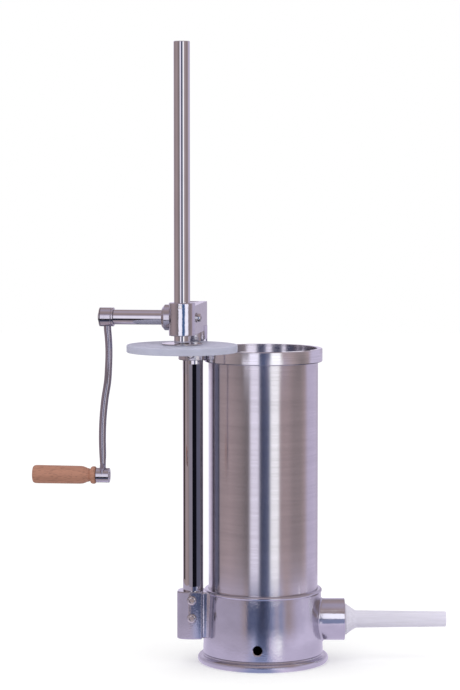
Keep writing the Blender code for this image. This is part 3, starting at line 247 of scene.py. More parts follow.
def woven(grid, loop, start):
    """Quads between the neighbours of a grid closed round its columns, with UVs in metres.

    U is the mean distance round the columns and V the mean distance along the rows.
    """
    rows, columns = grid.shape[:2]
    last = rows if loop else rows - 1
    i = np.arange(last)[:, None]
    j = np.arange(columns)[None]
    below = i * columns
    above = (i + 1) % rows * columns
    right = (j + 1) % columns
    quads = np.stack([below + j, below + right, above + right, above + j], -1).reshape(-1, 4) + start
    around = np.linalg.norm(np.roll(grid, -1, 1) - grid, axis=2).mean(0)
    across = np.linalg.norm(np.roll(grid, -1, 0) - grid, axis=2).mean(1)
    u = np.concatenate(([0], np.cumsum(around)))
    v = np.concatenate(([0], np.cumsum(across)))
    left, far = u[j] + 0 * i, u[j + 1] + 0 * i
    low, high = v[i] + 0 * j, v[i + 1] + 0 * j
    corners = np.stack([left, low, far, low, far, high, left, high], -1).reshape(-1, 2)
    return quads, corners


def shaped(name, grids):
    """Make an object of one or more grids: a grid of rows, or a pair of it and True where its rows loop."""
    points, quads, corners = [], [], []
    count = 0
    for item in grids:
        grid, loop = item if isinstance(item, tuple) else (item, False)
        faces, uv = woven(grid, loop, count)
        points.append(grid.reshape(-1, 3))
        quads.append(faces)
        corners.append(uv)
        count += grid.shape[0] * grid.shape[1]
    mesh = bpy.data.meshes.new(name)
    mesh.from_pydata(np.concatenate(points), [], np.concatenate(quads).tolist())
    flow = mesh.uv_layers.new(name="flow")
    flow.data.foreach_set("uv", np.concatenate(corners).ravel())
    work = bmesh.new()
    work.from_mesh(mesh)
    bmesh.ops.remove_doubles(work, verts=work.verts, dist=MERGE)
    bmesh.ops.recalc_face_normals(work, faces=work.faces)
    if work.calc_volume(signed=True) < 0:
        bmesh.ops.reverse_faces(work, faces=work.faces)
    if any(not edge.is_manifold for edge in work.edges):
        raise RuntimeError(f"{name} has an open seam")
    work.to_mesh(mesh)
    work.free()
    made = bpy.data.objects.new(name, mesh)
    bpy.context.scene.collection.objects.link(made)
    return made


def bored(target, cutters):
    """Cut the cutters out of the target and remove them."""
    for cutter in cutters:
        change = target.modifiers.new(cutter.name, 'BOOLEAN')
        change.operation = 'DIFFERENCE'
        change.solver = 'EXACT'
        change.object = cutter
    bpy.context.view_layer.update()
    graph = bpy.context.evaluated_depsgraph_get()
    mesh = bpy.data.meshes.new_from_object(target.evaluated_get(graph))
    target.modifiers.clear()
    target.data = mesh
    for cutter in cutters:
        bpy.data.objects.remove(cutter)


def add_piece(made, body, maker, replaced):
    """Shade a mesh, give it its material, and let it ride on a body in a CAD node's place."""
    mesh = made.data
    mesh.materials.clear()
    mesh.materials.append(finished(maker))
    mesh.shade_smooth()
    mesh.set_sharp_from_angle(angle=SHARP_ANGLE)
    shading = made.modifiers.new("weighted normals", 'WEIGHTED_NORMAL')
    shading.keep_sharp = True
    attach(made, body)
    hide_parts(replaced)


def ring(name, corners, at, columns=COLUMNS, steps=EASE_STEPS):
    """A turned solid whose profile closes on itself, such as a tube or a washer."""
    return shaped(name, [(turned(eased(corners, True, steps), at, columns), True)])


def section(outer, inner, low, high, edge, bore_edge):
    """Corners of a ring's section, with one ease for the outer edges and one for the inner ones."""
    return [(outer, low, edge), (outer, high, edge), (inner, high, bore_edge), (inner, low, bore_edge)]


def turning(name, corners, at, columns=COLUMNS):
    """A turned solid whose profile starts and ends on its axis."""
    return shaped(name, [turned(eased(corners), at, columns)])


def drill(name, radius, low, high, at, columns=COLUMNS):
    """A plain round cutter between two heights on local Z."""
    profile = np.array([(0, low), (radius, low), (radius, high), (0, high)])
    return shaped(name, [turned(profile, at, columns)])


# Materials


def linear(text):
    """Turn an sRGB hex colour such as B7B4BC into linear red, green and blue."""
    value = np.array([int(text[at:at + 2], 16) for at in (0, 2, 4)]) / 255
    return tuple(np.where(value <= 0.04045, value / 12.92, ((value + 0.055) / 1.055) ** 2.4))


def node(tree, kind, inputs=(), stops=(), **fields):
    """Add a node, set its fields, its ramp stops (place, hex) and its inputs, which are values or sockets."""
    made = tree.nodes.new(kind)
    for name, value in fields.items():
        setattr(made, name, value)
    for index, (at, colour) in enumerate(stops):
        elements = made.color_ramp.elements
        stop = elements[index] if index < len(elements) else elements.new(at)
        stop.position = at
        stop.color = (*linear(colour), 1)
    for key, value in dict(inputs).items():
        if isinstance(value, bpy.types.NodeSocket):
            tree.links.new(value, made.inputs[key])
        else:
            made.inputs[key].default_value = value
    return made


def shade(colour, factor):
    """A colour with its light scaled by a factor, with alpha."""
    return (*(value * factor for value in colour), 1)


def blank(name, colour):
    """Start a material: its name, its colour in solid view, an empty tree and the Object coordinates."""
    made = bpy.data.materials.new(name)
    made.use_nodes = True
    made.diffuse_color = shade(colour, 1)
    tree = made.node_tree
    tree.nodes.clear()
    return made, tree, node(tree, "ShaderNodeTexCoord").outputs["Object"]


def coated(made, tones, sheen, skin, inputs):
    """Finish a material with a Principled shader and return it.

    Tones are a share and the two colours that it mixes, sheen is the roughness, and skin is a bump's
    strength, depth and height.
    """
    tree = made.node_tree
    share, first, second = tones
    strength, depth, height = skin
    colour = node(tree, "ShaderNodeMix", {0: share, 6: first, 7: second}, data_type='RGBA').outputs[2]
    relief = {"Strength": strength, "Distance": depth, "Height": height}
    bump = node(tree, "ShaderNodeBump", relief).outputs[0]
    whole = {"Base Color": colour, "Roughness": sheen, "Normal": bump, **inputs}
    shader = node(tree, "ShaderNodeBsdfPrincipled", whole)
    node(tree, "ShaderNodeOutputMaterial", {"Surface": shader.outputs[0]})
    return made


METAL = {"Metallic": 1.0}


def grained(tree, amount):
    """Inputs of a metal whose fine grooves run round its axis, so that mirror images smear across them."""
    along = node(tree, "ShaderNodeTangent", direction_type='UV_MAP', uv_map="flow").outputs[0]
    return {**METAL, "Anisotropic": amount, "Anisotropic Rotation": 0.25, "Tangent": along}


def speckle(tree, where, cells, low=0, high=1, detail=2.0):
    """Noise whose cells have real sizes along X, Y and Z, as values that run from low to high."""
    sized = node(tree, "ShaderNodeMapping", {"Vector": where, "Scale": tuple(1 / cell for cell in cells)})
    noise = node(tree, "ShaderNodeTexNoise", {"Vector": sized.outputs[0], "Scale": 1.0, "Detail": detail})
    spread = {0: noise.outputs[0], 1: 0.32, 2: 0.68, 3: low, 4: high}
    return node(tree, "ShaderNodeMapRange", spread).outputs[0]


def cast_aluminium(finish):
    """Sand-cast aluminium, tumbled bright: soft mirror images, broken up by the pebbles of its skin.

    The pebbles are about 0.5 mm on the real skin and are drawn at 2 mm, or they would not show.
    """
    made, tree, where = blank("tumbled cast aluminium", finish.casting)
    pebbles = speckle(tree, where, (0.002, 0.002, 0.002), detail=1.0)
    clouds = speckle(tree, where, (0.035, 0.035, 0.02))
    sheen = speckle(tree, where, (0.006, 0.006, 0.006), 0.12, 0.18)
    tones = clouds, shade(finish.casting, 0.95), shade(finish.casting, 1.05)
    return coated(made, tones, sheen, (0.18, 0.0002, pebbles), METAL)


def turned_aluminium(finish):
    """Turned aluminium: brighter than the casting, with tool rings along each piece's profile.

    The rings are 0.15 mm apart on the real pieces and are drawn at 0.7 mm, or they would not show.
    """
    made, tree, _ = blank("turned aluminium", finish.machined)
    flow = node(tree, "ShaderNodeUVMap", uv_map="flow").outputs[0]
    rings = speckle(tree, flow, (1.0, 0.0007, 1.0), detail=1.0)
    sheen = speckle(tree, flow, (0.02, 0.002, 1.0), 0.13, 0.2)
    tones = rings, shade(finish.machined, 0.92), shade(finish.machined, 1.03)
    return coated(made, tones, sheen, (0.15, 0.00003, rings), grained(tree, 0.5))


def brushed_stainless(finish):
    """Stainless sheet, belt brushed round the tube: mirror images stay sharp across and smear up and down.

    The scratches are 0.1 mm wide and 20 to 80 mm long, and are drawn 0.9 mm wide, or they would not show.
    """
    made, tree, where = blank("brushed stainless steel", finish.stainless)
    scratches = speckle(tree, where, (0.045, 0.045, 0.0009), detail=3.0)
    passes = speckle(tree, where, (0.16, 0.16, 0.012), detail=1.0)
    worn = node(tree, "ShaderNodeMath", {0: scratches, 1: passes, 2: 0.0}, operation='ADD')
    share = node(tree, "ShaderNodeMapRange", {0: worn.outputs[0], 2: 2.0}).outputs[0]
    tones = share, shade(finish.stainless, 0.93), shade(finish.stainless, 1.06)
    sheen = node(tree, "ShaderNodeMapRange", {0: scratches, 3: 0.24, 4: 0.19}).outputs[0]
    return coated(made, tones, sheen, (0.06, 0.00003, scratches), grained(tree, 0.8))


def polished_stainless(finish):
    """Stainless band, brushed finer than the tube and buffed: brighter, bluer, with faint lines round it."""
    made, tree, where = blank("buffed stainless steel", finish.band)
    scratches = speckle(tree, where, (0.06, 0.06, 0.0011))
    tones = scratches, shade(finish.band, 0.92), shade(finish.band, 1.04)
    sheen = node(tree, "ShaderNodeMapRange", {0: scratches, 3: 0.19, 4: 0.14}).outputs[0]
    return coated(made, tones, sheen, (0.05, 0.00003, scratches), grained(tree, 0.6))


def chrome_plate(finish):
    """Hard chrome on ground steel: almost a mirror, dulled here and there by handling and oil."""
    made, tree, where = blank("hard chrome plate", finish.chrome)
    smudges = speckle(tree, where, (0.012, 0.012, 0.03), detail=3.0)
    wave = speckle(tree, where, (0.008, 0.008, 0.06), detail=0.0)
    tones = smudges, shade(finish.chrome, 0.94), shade(finish.chrome, 1.02)
    sheen = node(tree, "ShaderNodeMapRange", {0: smudges, 3: 0.06, 4: 0.02}).outputs[0]
    return coated(made, tones, sheen, (0.02, 0.00002, wave), METAL)


def drawn_steel(finish):
    """Drawn steel bar, bent, tumbled and thinly plated: a soft grey lustre with lengthwise die lines.

    The lines are 0.1 mm wide and are drawn at 1.2 mm, or they would not show.
    """
    made, tree, where = blank("tumbled drawn steel", finish.bar)
    flow = node(tree, "ShaderNodeUVMap", uv_map="flow").outputs[0]
    lines = speckle(tree, flow, (0.0012, 0.06, 1.0), detail=1.0)
    sheen = speckle(tree, where, (0.02, 0.02, 0.04), 0.17, 0.21)
    tones = lines, shade(finish.bar, 0.96), shade(finish.bar, 1.04)
    return coated(made, tones, sheen, (0.01, 0.00002, lines), METAL)


def zinc_plate(finish):
    """Bright zinc on screws and washers: grey with bluish and straw clouds and a slight orange peel."""
    made, tree, where = blank("bright zinc plate", finish.zinc)
    clouds = speckle(tree, where, (0.003, 0.003, 0.003))
    sheen = speckle(tree, where, (0.0015, 0.0015, 0.0015), 0.08, 0.15)
    straw = tuple(value * tone for value, tone in zip(finish.zinc, (1.02, 0.97, 0.84)))
    tones = clouds, shade(finish.zinc, 0.95), shade(straw, 1.05)
    return coated(made, tones, sheen, (0.06, 0.00005, clouds), METAL)


def sintered_bronze(finish):
    """Oil-filled sintered bronze: warm, dull and full of tiny dark pores."""
    made, tree, where = blank("sintered bronze", finish.bronze)
    pores = speckle(tree, where, (0.0004, 0.0004, 0.0004))
    tones = pores, shade(finish.bronze, 0.5), shade(finish.bronze, 1.1)
    sheen = node(tree, "ShaderNodeMapRange", {0: pores, 3: 0.6, 4: 0.38}).outputs[0]
    return coated(made, tones, sheen, (0.3, 0.0001, pores), METAL)


def white_polyethylene(finish):
    """Polyethylene disc turned from sheet: waxy, a little light inside it, faint tool rings and scuffs.

    The rings are 0.2 mm apart and are drawn at 1.3 mm, or they would not show.
    """
    made, tree, where = blank("white polyethylene", finish.piston)
    flow = node(tree, "ShaderNodeUVMap", uv_map="flow").outputs[0]
    rings = speckle(tree, flow, (1.0, 0.0013, 1.0), detail=1.0)
    scuffs = speckle(tree, where, (0.02, 0.012, 0.004), detail=4.0)
    tones = scuffs, shade(finish.piston, 0.93), shade(finish.piston, 1.03)
    waxy = {"IOR": 1.51, "Subsurface Weight": 0.15, "Subsurface Radius": (0.004, 0.004, 0.005),
            "Subsurface Scale": 1.0}
    sheen = node(tree, "ShaderNodeMapRange", {0: scuffs, 3: 0.5, 4: 0.36}).outputs[0]
    return coated(made, tones, sheen, (0.2, 0.0001, rings), waxy)


def milky_polypropylene(finish):
    """Natural polypropylene, injection moulded: cloudy, softly lit from inside, faintly streaked along it."""
    made, tree, where = blank("milky polypropylene", finish.nozzle)
    streaks = speckle(tree, where, (0.05, 0.0025, 0.0025))
    sheen = speckle(tree, where, (0.01, 0.004, 0.004), 0.28, 0.42)
    tones = streaks, shade(finish.nozzle, 0.93), shade(finish.nozzle, 1.04)
    cloudy = {"IOR": 1.49, "Subsurface Weight": 0.3, "Subsurface Radius": (0.006, 0.006, 0.007),
              "Subsurface Scale": 1.0}
    return coated(made, tones, sheen, (0.15, 0.0001, streaks), cloudy)


def nitrile_rubber(finish):
    """Moulded nitrile rubber: black and dull, with a faint bloom."""
    made, tree, where = blank("nitrile rubber", finish.rubber)
    bloom = speckle(tree, where, (0.006, 0.006, 0.002), detail=3.0)
    tones = bloom, shade(finish.rubber, 0.8), shade(finish.rubber, 1.5)
    sheen = node(tree, "ShaderNodeMapRange", {0: bloom, 3: 0.5, 4: 0.68}).outputs[0]
    return coated(made, tones, sheen, (0.2, 0.0001, bloom), {"IOR": 1.52})


def oiled_beech(finish):
    """Turned beech, oiled: pinkish brown, with fine grain along the grip and short dark ray flecks."""
    made, tree, where = blank("oiled beech", finish.beech)
    turn = math.atan2(CRANK_OUTWARD[1], CRANK_OUTWARD[0])
    set_in = {"Vector": where, "Location": tuple(middle("wooden_grip")), "Rotation": (0, 0, turn)}
    lengthwise = node(tree, "ShaderNodeMapping", set_in, vector_type='TEXTURE').outputs[0]
    grain = speckle(tree, lengthwise, (0.045, 0.0022, 0.0022), detail=3.0)
    rings = speckle(tree, lengthwise, (0.09, 0.007, 0.004), detail=1.0)
    both = node(tree, "ShaderNodeMix", {0: 0.45, 2: grain, 3: rings}).outputs[0]
    pale = {0: both, 6: shade(finish.beech, 0.86), 7: shade(finish.beech, 1.1)}
    wood = node(tree, "ShaderNodeMix", pale, data_type='RGBA').outputs[2]
    flecks = speckle(tree, lengthwise, (0.006, 0.0011, 0.0011), -4.0, 0.9, 0.0)
    tones = node(tree, "ShaderNodeClamp", {0: flecks}).outputs[0], wood, shade(finish.beech, 0.68)
    sheen = node(tree, "ShaderNodeMapRange", {0: grain, 3: 0.56, 4: 0.42}).outputs[0]
    return coated(made, tones, sheen, (0.25, 0.0001, grain), {"IOR": 1.5})


def finished(maker):
    """The material that a maker function gives, made only once."""
    known = maker.__name__
    for made in bpy.data.materials:
        if made.get("maker") == known:
            return made
    made = maker(bpy.context.scene.stuffer_finishes)
    made["maker"] = known
    return made


# Pieces

TUBE_R = 0.070
TUBE_INNER_R = 0.069
SEAT_R = 0.0703
BOWL_R = 0.066
BASE_LOW_R = 0.077
FOOT_R = 0.0838
FOOT_TOP_Z = 0.010
BEAD_TOP_Z = 0.013
UNDERCUT_R = 0.071
WALL_TOP_R = 0.07435
WALL_TOP_Z = 0.0903
BASE_TOP_Z = 0.095
SHELF_Z = 0.079
BOWL_FLOOR_Z = 0.041
UNDERSIDE_Z = 0.036
HOLE_BEARING = math.radians(-96)
HOLE_Z = 0.0269
HOLE_R = 0.0057
OUTLET_Z = 0.054
BOSS_R = 0.0268
BOSS_START = 0.0154
LIP_START = 0.1008
BOSS_END = 0.1048
OUTLET_R = 0.0225
MOUTH_R = 0.020
OUTLET_BACK = 0.0197
FLANGE_R = 0.0222
POST_R = 0.013
POST_BORE_R = 0.0133
RIM_R = 0.0756
SADDLE_R = RIM_R + 0.0006
LUG_LOW_Z = 0.0335
LUG_TOP_Z = 0.0945
JOURNAL_R = 0.011
JOURNAL_Z = 0.4054
BUSH_TOP_Z = 0.4497
BUSH_INNER_R = 0.0113
COLLAR_R = 0.0184
BUSH_BORE_R = 0.013
HEAD_LOW_Z = 0.4275
HEAD_TOP_Z = 0.464
ROD_BORE_R = 0.0103
HUB_R = 0.0118
PIN_R = 0.004
PIN_BORE_R = 0.0043
PISTON_R = 0.0686
COUNTERSINK = 0.005
GRIP_LENGTH = 0.08
SEAM_GAP = 0.0003
SCREW_COLUMNS = 48
TOP_STEPS = 12


def foot_and_wall():
    """Outer profile of the base: from the underside's middle over foot and bead to the seat's edge."""
    corners = [(0, UNDERSIDE_Z, 0), (UNDERCUT_R, UNDERSIDE_Z, 0.006), (UNDERCUT_R, 0, 0.0006)]
    corners += [(FOOT_R, 0, 0.0046), (FOOT_R, FOOT_TOP_Z, 0.0046), (BASE_LOW_R, FOOT_TOP_Z, 0.0004)]
    corners += [(BASE_LOW_R - 0.0008, 0.0115, 0.0003), (BASE_LOW_R, BEAD_TOP_Z, 0.0006)]
    corners += [(WALL_TOP_R, WALL_TOP_Z, 0)]
    return np.concatenate([eased(corners), arc(0.0731, 0.0925, 0.0025, -58, 90, TOP_STEPS)])


def bowl_profile():
    """Inner profile of the base from the seat's edge down over the shelf to the bowl's middle."""
    corners = [(SEAT_R, BASE_TOP_Z, 0), (SEAT_R, SHELF_Z, 0.0002), (BOWL_R, SHELF_Z, 0.0004)]
    corners += [(BOWL_R, BOWL_FLOOR_Z, 0.006), (0, BOWL_FLOOR_Z, 0)]
    return eased(corners)


def wall_radius(height):
    """Radius of the base's outer wall at a height."""
    return BASE_LOW_R - (height - BEAD_TOP_Z) * (BASE_LOW_R - WALL_TOP_R) / (WALL_TOP_Z - BEAD_TOP_Z)


def add_base_body():
    """The turned body of the base, with the outlet's trough and the drilled front hole cut out of it.

    Rows are filled in along the wall, so that the faces next to the cuts stay small.
    """
    outer = foot_and_wall()
    bead = -TOP_STEPS - 1
    bottom, top = outer[bead - 1], outer[bead]
    fill = bottom + (top - bottom) * np.linspace(0, 1, 30)[1:-1, None]
    profile = np.concatenate([outer[:bead], fill, outer[bead:], bowl_profile()])
    body = shaped("base_body", [turned(profile, BASE, FINE_COLUMNS)])
    outlet = facing(BASE, 0, OUTLET_Z)
    trough = drill("trough", OUTLET_R - 0.0001, OUTLET_BACK, 0.09, outlet)
    hole_at = facing(BASE, HOLE_BEARING, HOLE_Z)
    inside, outside, wide = 0.060, 0.09, 0.0079
    hole = [(0, inside), (HOLE_R, inside), (HOLE_R, BASE_LOW_R - 0.0018), (wide, BASE_LOW_R + 0.0004)]
    hole += [(wide, outside), (0, outside)]
    front_hole = shaped("front_hole", [turned(np.array(hole), hole_at, 64)])
    bored(body, [trough, front_hole])
    add_piece(body, "base", cast_aluminium, "base_casting")


def add_outlet_boss(size):
    """The outlet boss: round the outlet's axis, with a fillet f onto the wall.

    At fillet angle a the radius is R + f(1 - sin a) and the distance along the axis is w + f(1 - cos a),
    where w = sqrt(wall radius^2 - y^2) is where the wall stands at that bearing.
    """
    t = bearings(FINE_COLUMNS)
    fillet = size.boss_fillet
    root = BOSS_R + fillet
    y = root * np.sin(t)
    z = OUTLET_Z - root * np.cos(t)
    wall = np.sqrt(wall_radius(z) ** 2 - y ** 2)
    a = np.linspace(0, TAU / 4, 9)[:, None]
    blend_r = BOSS_R + fillet * (1 - np.sin(a)) + 0 * t
    blend_x = wall + fillet * (1 - np.cos(a))
    sunk_r = np.array([[BOSS_R - 0.002], [BOSS_R - 0.002], [root]]) + 0 * t
    sunk_x = np.stack([0 * t + BOSS_START, wall - 0.003, wall - 0.0012])
    corners = [(BOSS_R, BOSS_END, 0.0009), (MOUTH_R, BOSS_END, 0.0004), (MOUTH_R, LIP_START, 0)]
    corners += [(OUTLET_R, LIP_START, 0), (OUTLET_R, OUTLET_BACK, 0), (0, OUTLET_BACK, 0)]
    rest = eased([(BOSS_R, 0.101, 0), *corners])
    rest_r = rest[:, :1] + 0 * t
    rest_x = rest[:, 1:] + 0 * t
    r = np.concatenate([0 * t[None], sunk_r, blend_r, rest_r])
    x = np.concatenate([0 * t[None] + BOSS_START, sunk_x, blend_x, rest_x])
    grid = placed(np.stack([r * np.cos(t), r * np.sin(t), x], -1), facing(BASE, 0, OUTLET_Z))
    boss = shaped("outlet_boss", [grid])
    above = 0.11
    cut = np.concatenate([[(0, above), (SEAT_R, above)], bowl_profile()])
    bored(boss, [shaped("bowl_space", [turned(cut, BASE, FINE_COLUMNS)])])
    add_piece(boss, "base", cast_aluminium, "base_casting")


def lug_outline(size):
    """Plan of the lug round the post: crowned front and back faces, wide left corners, tight right ones.

    The front face stands at y = -18 mm + crown (x + 4.5 mm)^2 + 0.16 max(0, -4.5 mm - x), and the back face
    is its mirror image.
    """
    x = np.concatenate([np.linspace(0.0113, -0.0043, 12), [-0.0047, -0.007, -0.010]])
    crest = -0.0045
    bend = 0.16 * np.maximum(0, crest - x)
    front = np.stack([x, -0.018 + size.lug_crown * (x - crest) ** 2 + bend], -1)
    left, right = -0.020, 0.0125
    corner = eased([front[-1].tolist() + [0], (left, -0.0150, 0.009), (left, 0, 0)])
    side = np.concatenate([front, corner[1:-1]])
    right = eased([(right, 0, 0), (right, -0.0161, 0.0011), (*front[0], 0)])[1:-1]
    half = np.concatenate([right, side])
    whole = np.concatenate([half, half[::-1] * (1, -1)])
    return whole[::-1]


def add_post_lug(size):
    """The lug that holds the post, and the web that blends it into the base.

    The web's front is a hollow curve from the lug's edge onto the body, and its back is the mirror
    image of that curve across the line from the post to the cylinder's axis.
    """
    outline = lug_outline(size)
    loops = pillow(outline, LUG_LOW_Z, LUG_TOP_Z, 0.0014)
    start = (0 * outline, LUG_LOW_Z)
    mouth = [(at_radius(outline, 0.0137), LUG_TOP_Z), (at_radius(outline, POST_BORE_R), 0.0941)]
    floor = 0.039
    bore = [(at_radius(outline, POST_BORE_R), floor), (0 * outline, floor)]
    lug = shaped("post_lug", [stacked([start, *loops, *mouth, *bore], LUG)])
    add_piece(lug, "base", cast_aluminium, "base_casting")
    hollow = eased([(0.0106, -0.0160, 0), (0.0155, -0.0122, 0.0036), (0.0244, -0.0127, 0)])
    towards = (BASE[0] - LUG[0]) @ LUG[1].T
    towards = towards[:2] / np.linalg.norm(towards[:2])
    mirrored = 2 * (hollow @ towards)[:, None] * towards - hollow
    plan = np.concatenate([hollow, mirrored[::-1]])
    centre = plan.mean(0)
    bottom, top = 0.0345, 0.0935
    low, high = (0 * plan + centre, bottom), (0 * plan + centre, top)
    web = shaped("lug_web", [stacked([low, *pillow(plan, bottom, top, 0.0018), high], LUG)])
    add_piece(web, "base", cast_aluminium, "base_casting")


def add_cylinder(size):
    """The steel tube, its rim band and its seal, all turned rings."""
    low, high = span("cylinder_tube")
    tube = section(TUBE_R, TUBE_INNER_R, low, high, 0.0003, 0.0003)
    made = ring("cylinder_tube_wall", tube, BASE, FINE_COLUMNS)
    add_piece(made, "base", brushed_stainless, "cylinder_tube")
    low, high = span("rim_band")
    edge = size.rim_edge
    lip = high - 0.0011
    band = [(RIM_R, low, edge), (RIM_R, high, edge), (TUBE_INNER_R, high, 0.0005), (TUBE_INNER_R, lip, 0)]
    band += [(SEAT_R, lip, 0), (SEAT_R, low, 0.0003)]
    made = ring("rim_ring", band, BASE, FINE_COLUMNS)
    add_piece(made, "base", polished_stainless, "rim_band")
    low, high = span("cylinder_seal")
    seal = section(TUBE_R, BOWL_R, low, high, 0.0006, 0.0006)
    made = ring("seal_ring", seal, BASE, FINE_COLUMNS)
    add_piece(made, "base", nitrile_rubber, "cylinder_seal")


def add_nozzle():
    """The moulded nozzle and the gasket behind the boss's lip, turned round the outlet's axis."""
    at = facing(BASE, 0, OUTLET_Z)
    wall = 0.0018
    start, flange, end = 0.0956, 0.0991, 0.2353
    neck_r, root_r, tip_r = 0.0197, 0.0111, 0.0097
    outer = [(FLANGE_R, start, 0.0003), (FLANGE_R, flange, 0.0003), (neck_r, flange, 0.0003)]
    outer += [(neck_r, 0.1073, 0.0006), (0.0186, 0.1079, 0.0004), (root_r, 0.1188, 0.0022)]
    outer += [(tip_r, end, 0.0005)]
    inner = [(tip_r - wall, end, 0.0004), (root_r - wall, 0.1183, 0.0022), (0.0175, 0.1064, 0.0008)]
    inner += [(0.0179, start, 0.0003)]
    made = ring("filling_nozzle", outer + inner, at)
    add_piece(made, "base", milky_polypropylene, "nozzle")
    gasket = section(FLANGE_R, MOUTH_R, 0.0994, 0.1006, 0.0004, 0.0004)
    made = ring("outlet_gasket", gasket, at)
    add_piece(made, "base", nitrile_rubber, "nozzle_gasket")


def socketed(name, corners, apothem, mouth, floor, at):
    """A turned solid whose profile ends on a flat face, with a hexagon socket from there to a floor."""
    body = turned(eased(corners), at, SCREW_COLUMNS)
    hexes = hexagon(apothem, SCREW_COLUMNS)
    socket = stacked([(hexes, mouth), (hexes, floor), (0 * hexes, floor)], at)
    return shaped(name, [np.concatenate([body, socket])])


def button_screw(name, head_r, head, shank_r, shank, at, dome=0.75):
    """A button-head screw: turned shank and head, with a hexagon socket sunk into its top."""
    socket = head_r * 0.44
    corners = [(0, -shank, 0), (shank_r, -shank, 0.0004), (shank_r, 0, 0), (head_r, 0, 0.0001)]
    corners += [(head_r, head, head * dome), (socket * 1.3, head, 0)]
    return socketed(name, corners, socket, head, head * 0.12, at)


def washer(name, outer, inner, low, high, at, edge=0.0002, columns=COLUMNS):
    """A flat ring between two radii and two heights, with broken edges."""
    return ring(name, section(outer, inner, low, high, edge, edge), at, columns, 3)


def add_post():
    """The chromed post with its journal and stub, the lug screws and the screw at its top."""
    bottom, top, stub_r = 0.0393, 0.454, 0.006
    corners = [(0, bottom, 0), (POST_R, bottom, 0.0006), (POST_R, JOURNAL_Z, 0.0003)]
    corners += [(JOURNAL_R, JOURNAL_Z, 0), (JOURNAL_R, BUSH_TOP_Z, 0.0003), (stub_r, BUSH_TOP_Z, 0)]
    corners += [(stub_r, top, 0.0003), (0, top, 0)]
    made = turning("guide_post", corners, POST)
    add_piece(made, "base", chrome_plate, "post")
    for name, height in (("lug_screw_upper", 0.0838), ("lug_screw_lower", 0.0607)):
        at = facing(LUG, -TAU / 4, height, 0.0183)
        made = button_screw(name + "_head", 0.0062, 0.0028, PIN_R, 0.013, at, 0.98)
        add_piece(made, "base", zinc_plate, name)
    made = washer("stub_washer", 0.0095, PIN_BORE_R, 0.4543, 0.4558, POST)
    add_piece(made, "base", zinc_plate, "post_top_washer")
    made = button_screw("stub_screw", 0.0065, 0.0047, PIN_R, 0.0161, raised(POST, (0, 0, 0.4561)), 0.15)
    add_piece(made, "base", zinc_plate, "post_top_screw")


def add_collar():
    """The stop collar with its saddle beside the rim, its spot-faced screw and the thrust washer."""
    made = ring("collar_ring", section(COLLAR_R, POST_BORE_R, 0.3903, JOURNAL_Z, 0.0008, 0.0004), POST)
    saddle = drill("saddle", SADDLE_R, 0.38, 0.42, BASE, FINE_COLUMNS)
    at = facing(POST, math.radians(-98.4), 0.39785)
    spot = drill("spot_face", 0.0055, 0.0176, 0.025, at, SCREW_COLUMNS)
    bored(made, [saddle, spot])
    add_piece(made, "base", turned_aluminium, "stop_collar")
    made = button_screw("collar_screw_head", 0.0052, 0.0024, 0.003, 0.0106, raised(at, (0, 0, 0.0179)))
    add_piece(made, "base", zinc_plate, "collar_screw")
    made = washer("thrust_washer", 0.0176, BUSH_INNER_R, 0.4057, 0.4067, POST)
    bored(made, [drill("saddle", SADDLE_R, 0.38, 0.42, BASE, FINE_COLUMNS)])
    add_piece(made, "base", zinc_plate, "swivel_washer")


TEETH = 10
MODULE = 0.002
PRESSURE = math.radians(25)
ADDENDUM = 0.0016
DEDENDUM = 0.0024
PINION_TIP_R = 0.0118
SHAFT_START = -0.0154
SHAFT_SHOULDER = 0.0103
CRANK_OFFSET = 0.0164
CRANK = place(
    placed(np.array([SWING_RADIUS - CRANK_OFFSET, 0.0, CRANK_AXIS_Z]), HEAD), CRANK_OUTWARD, -UP,
)
NOSE_R = 0.01625


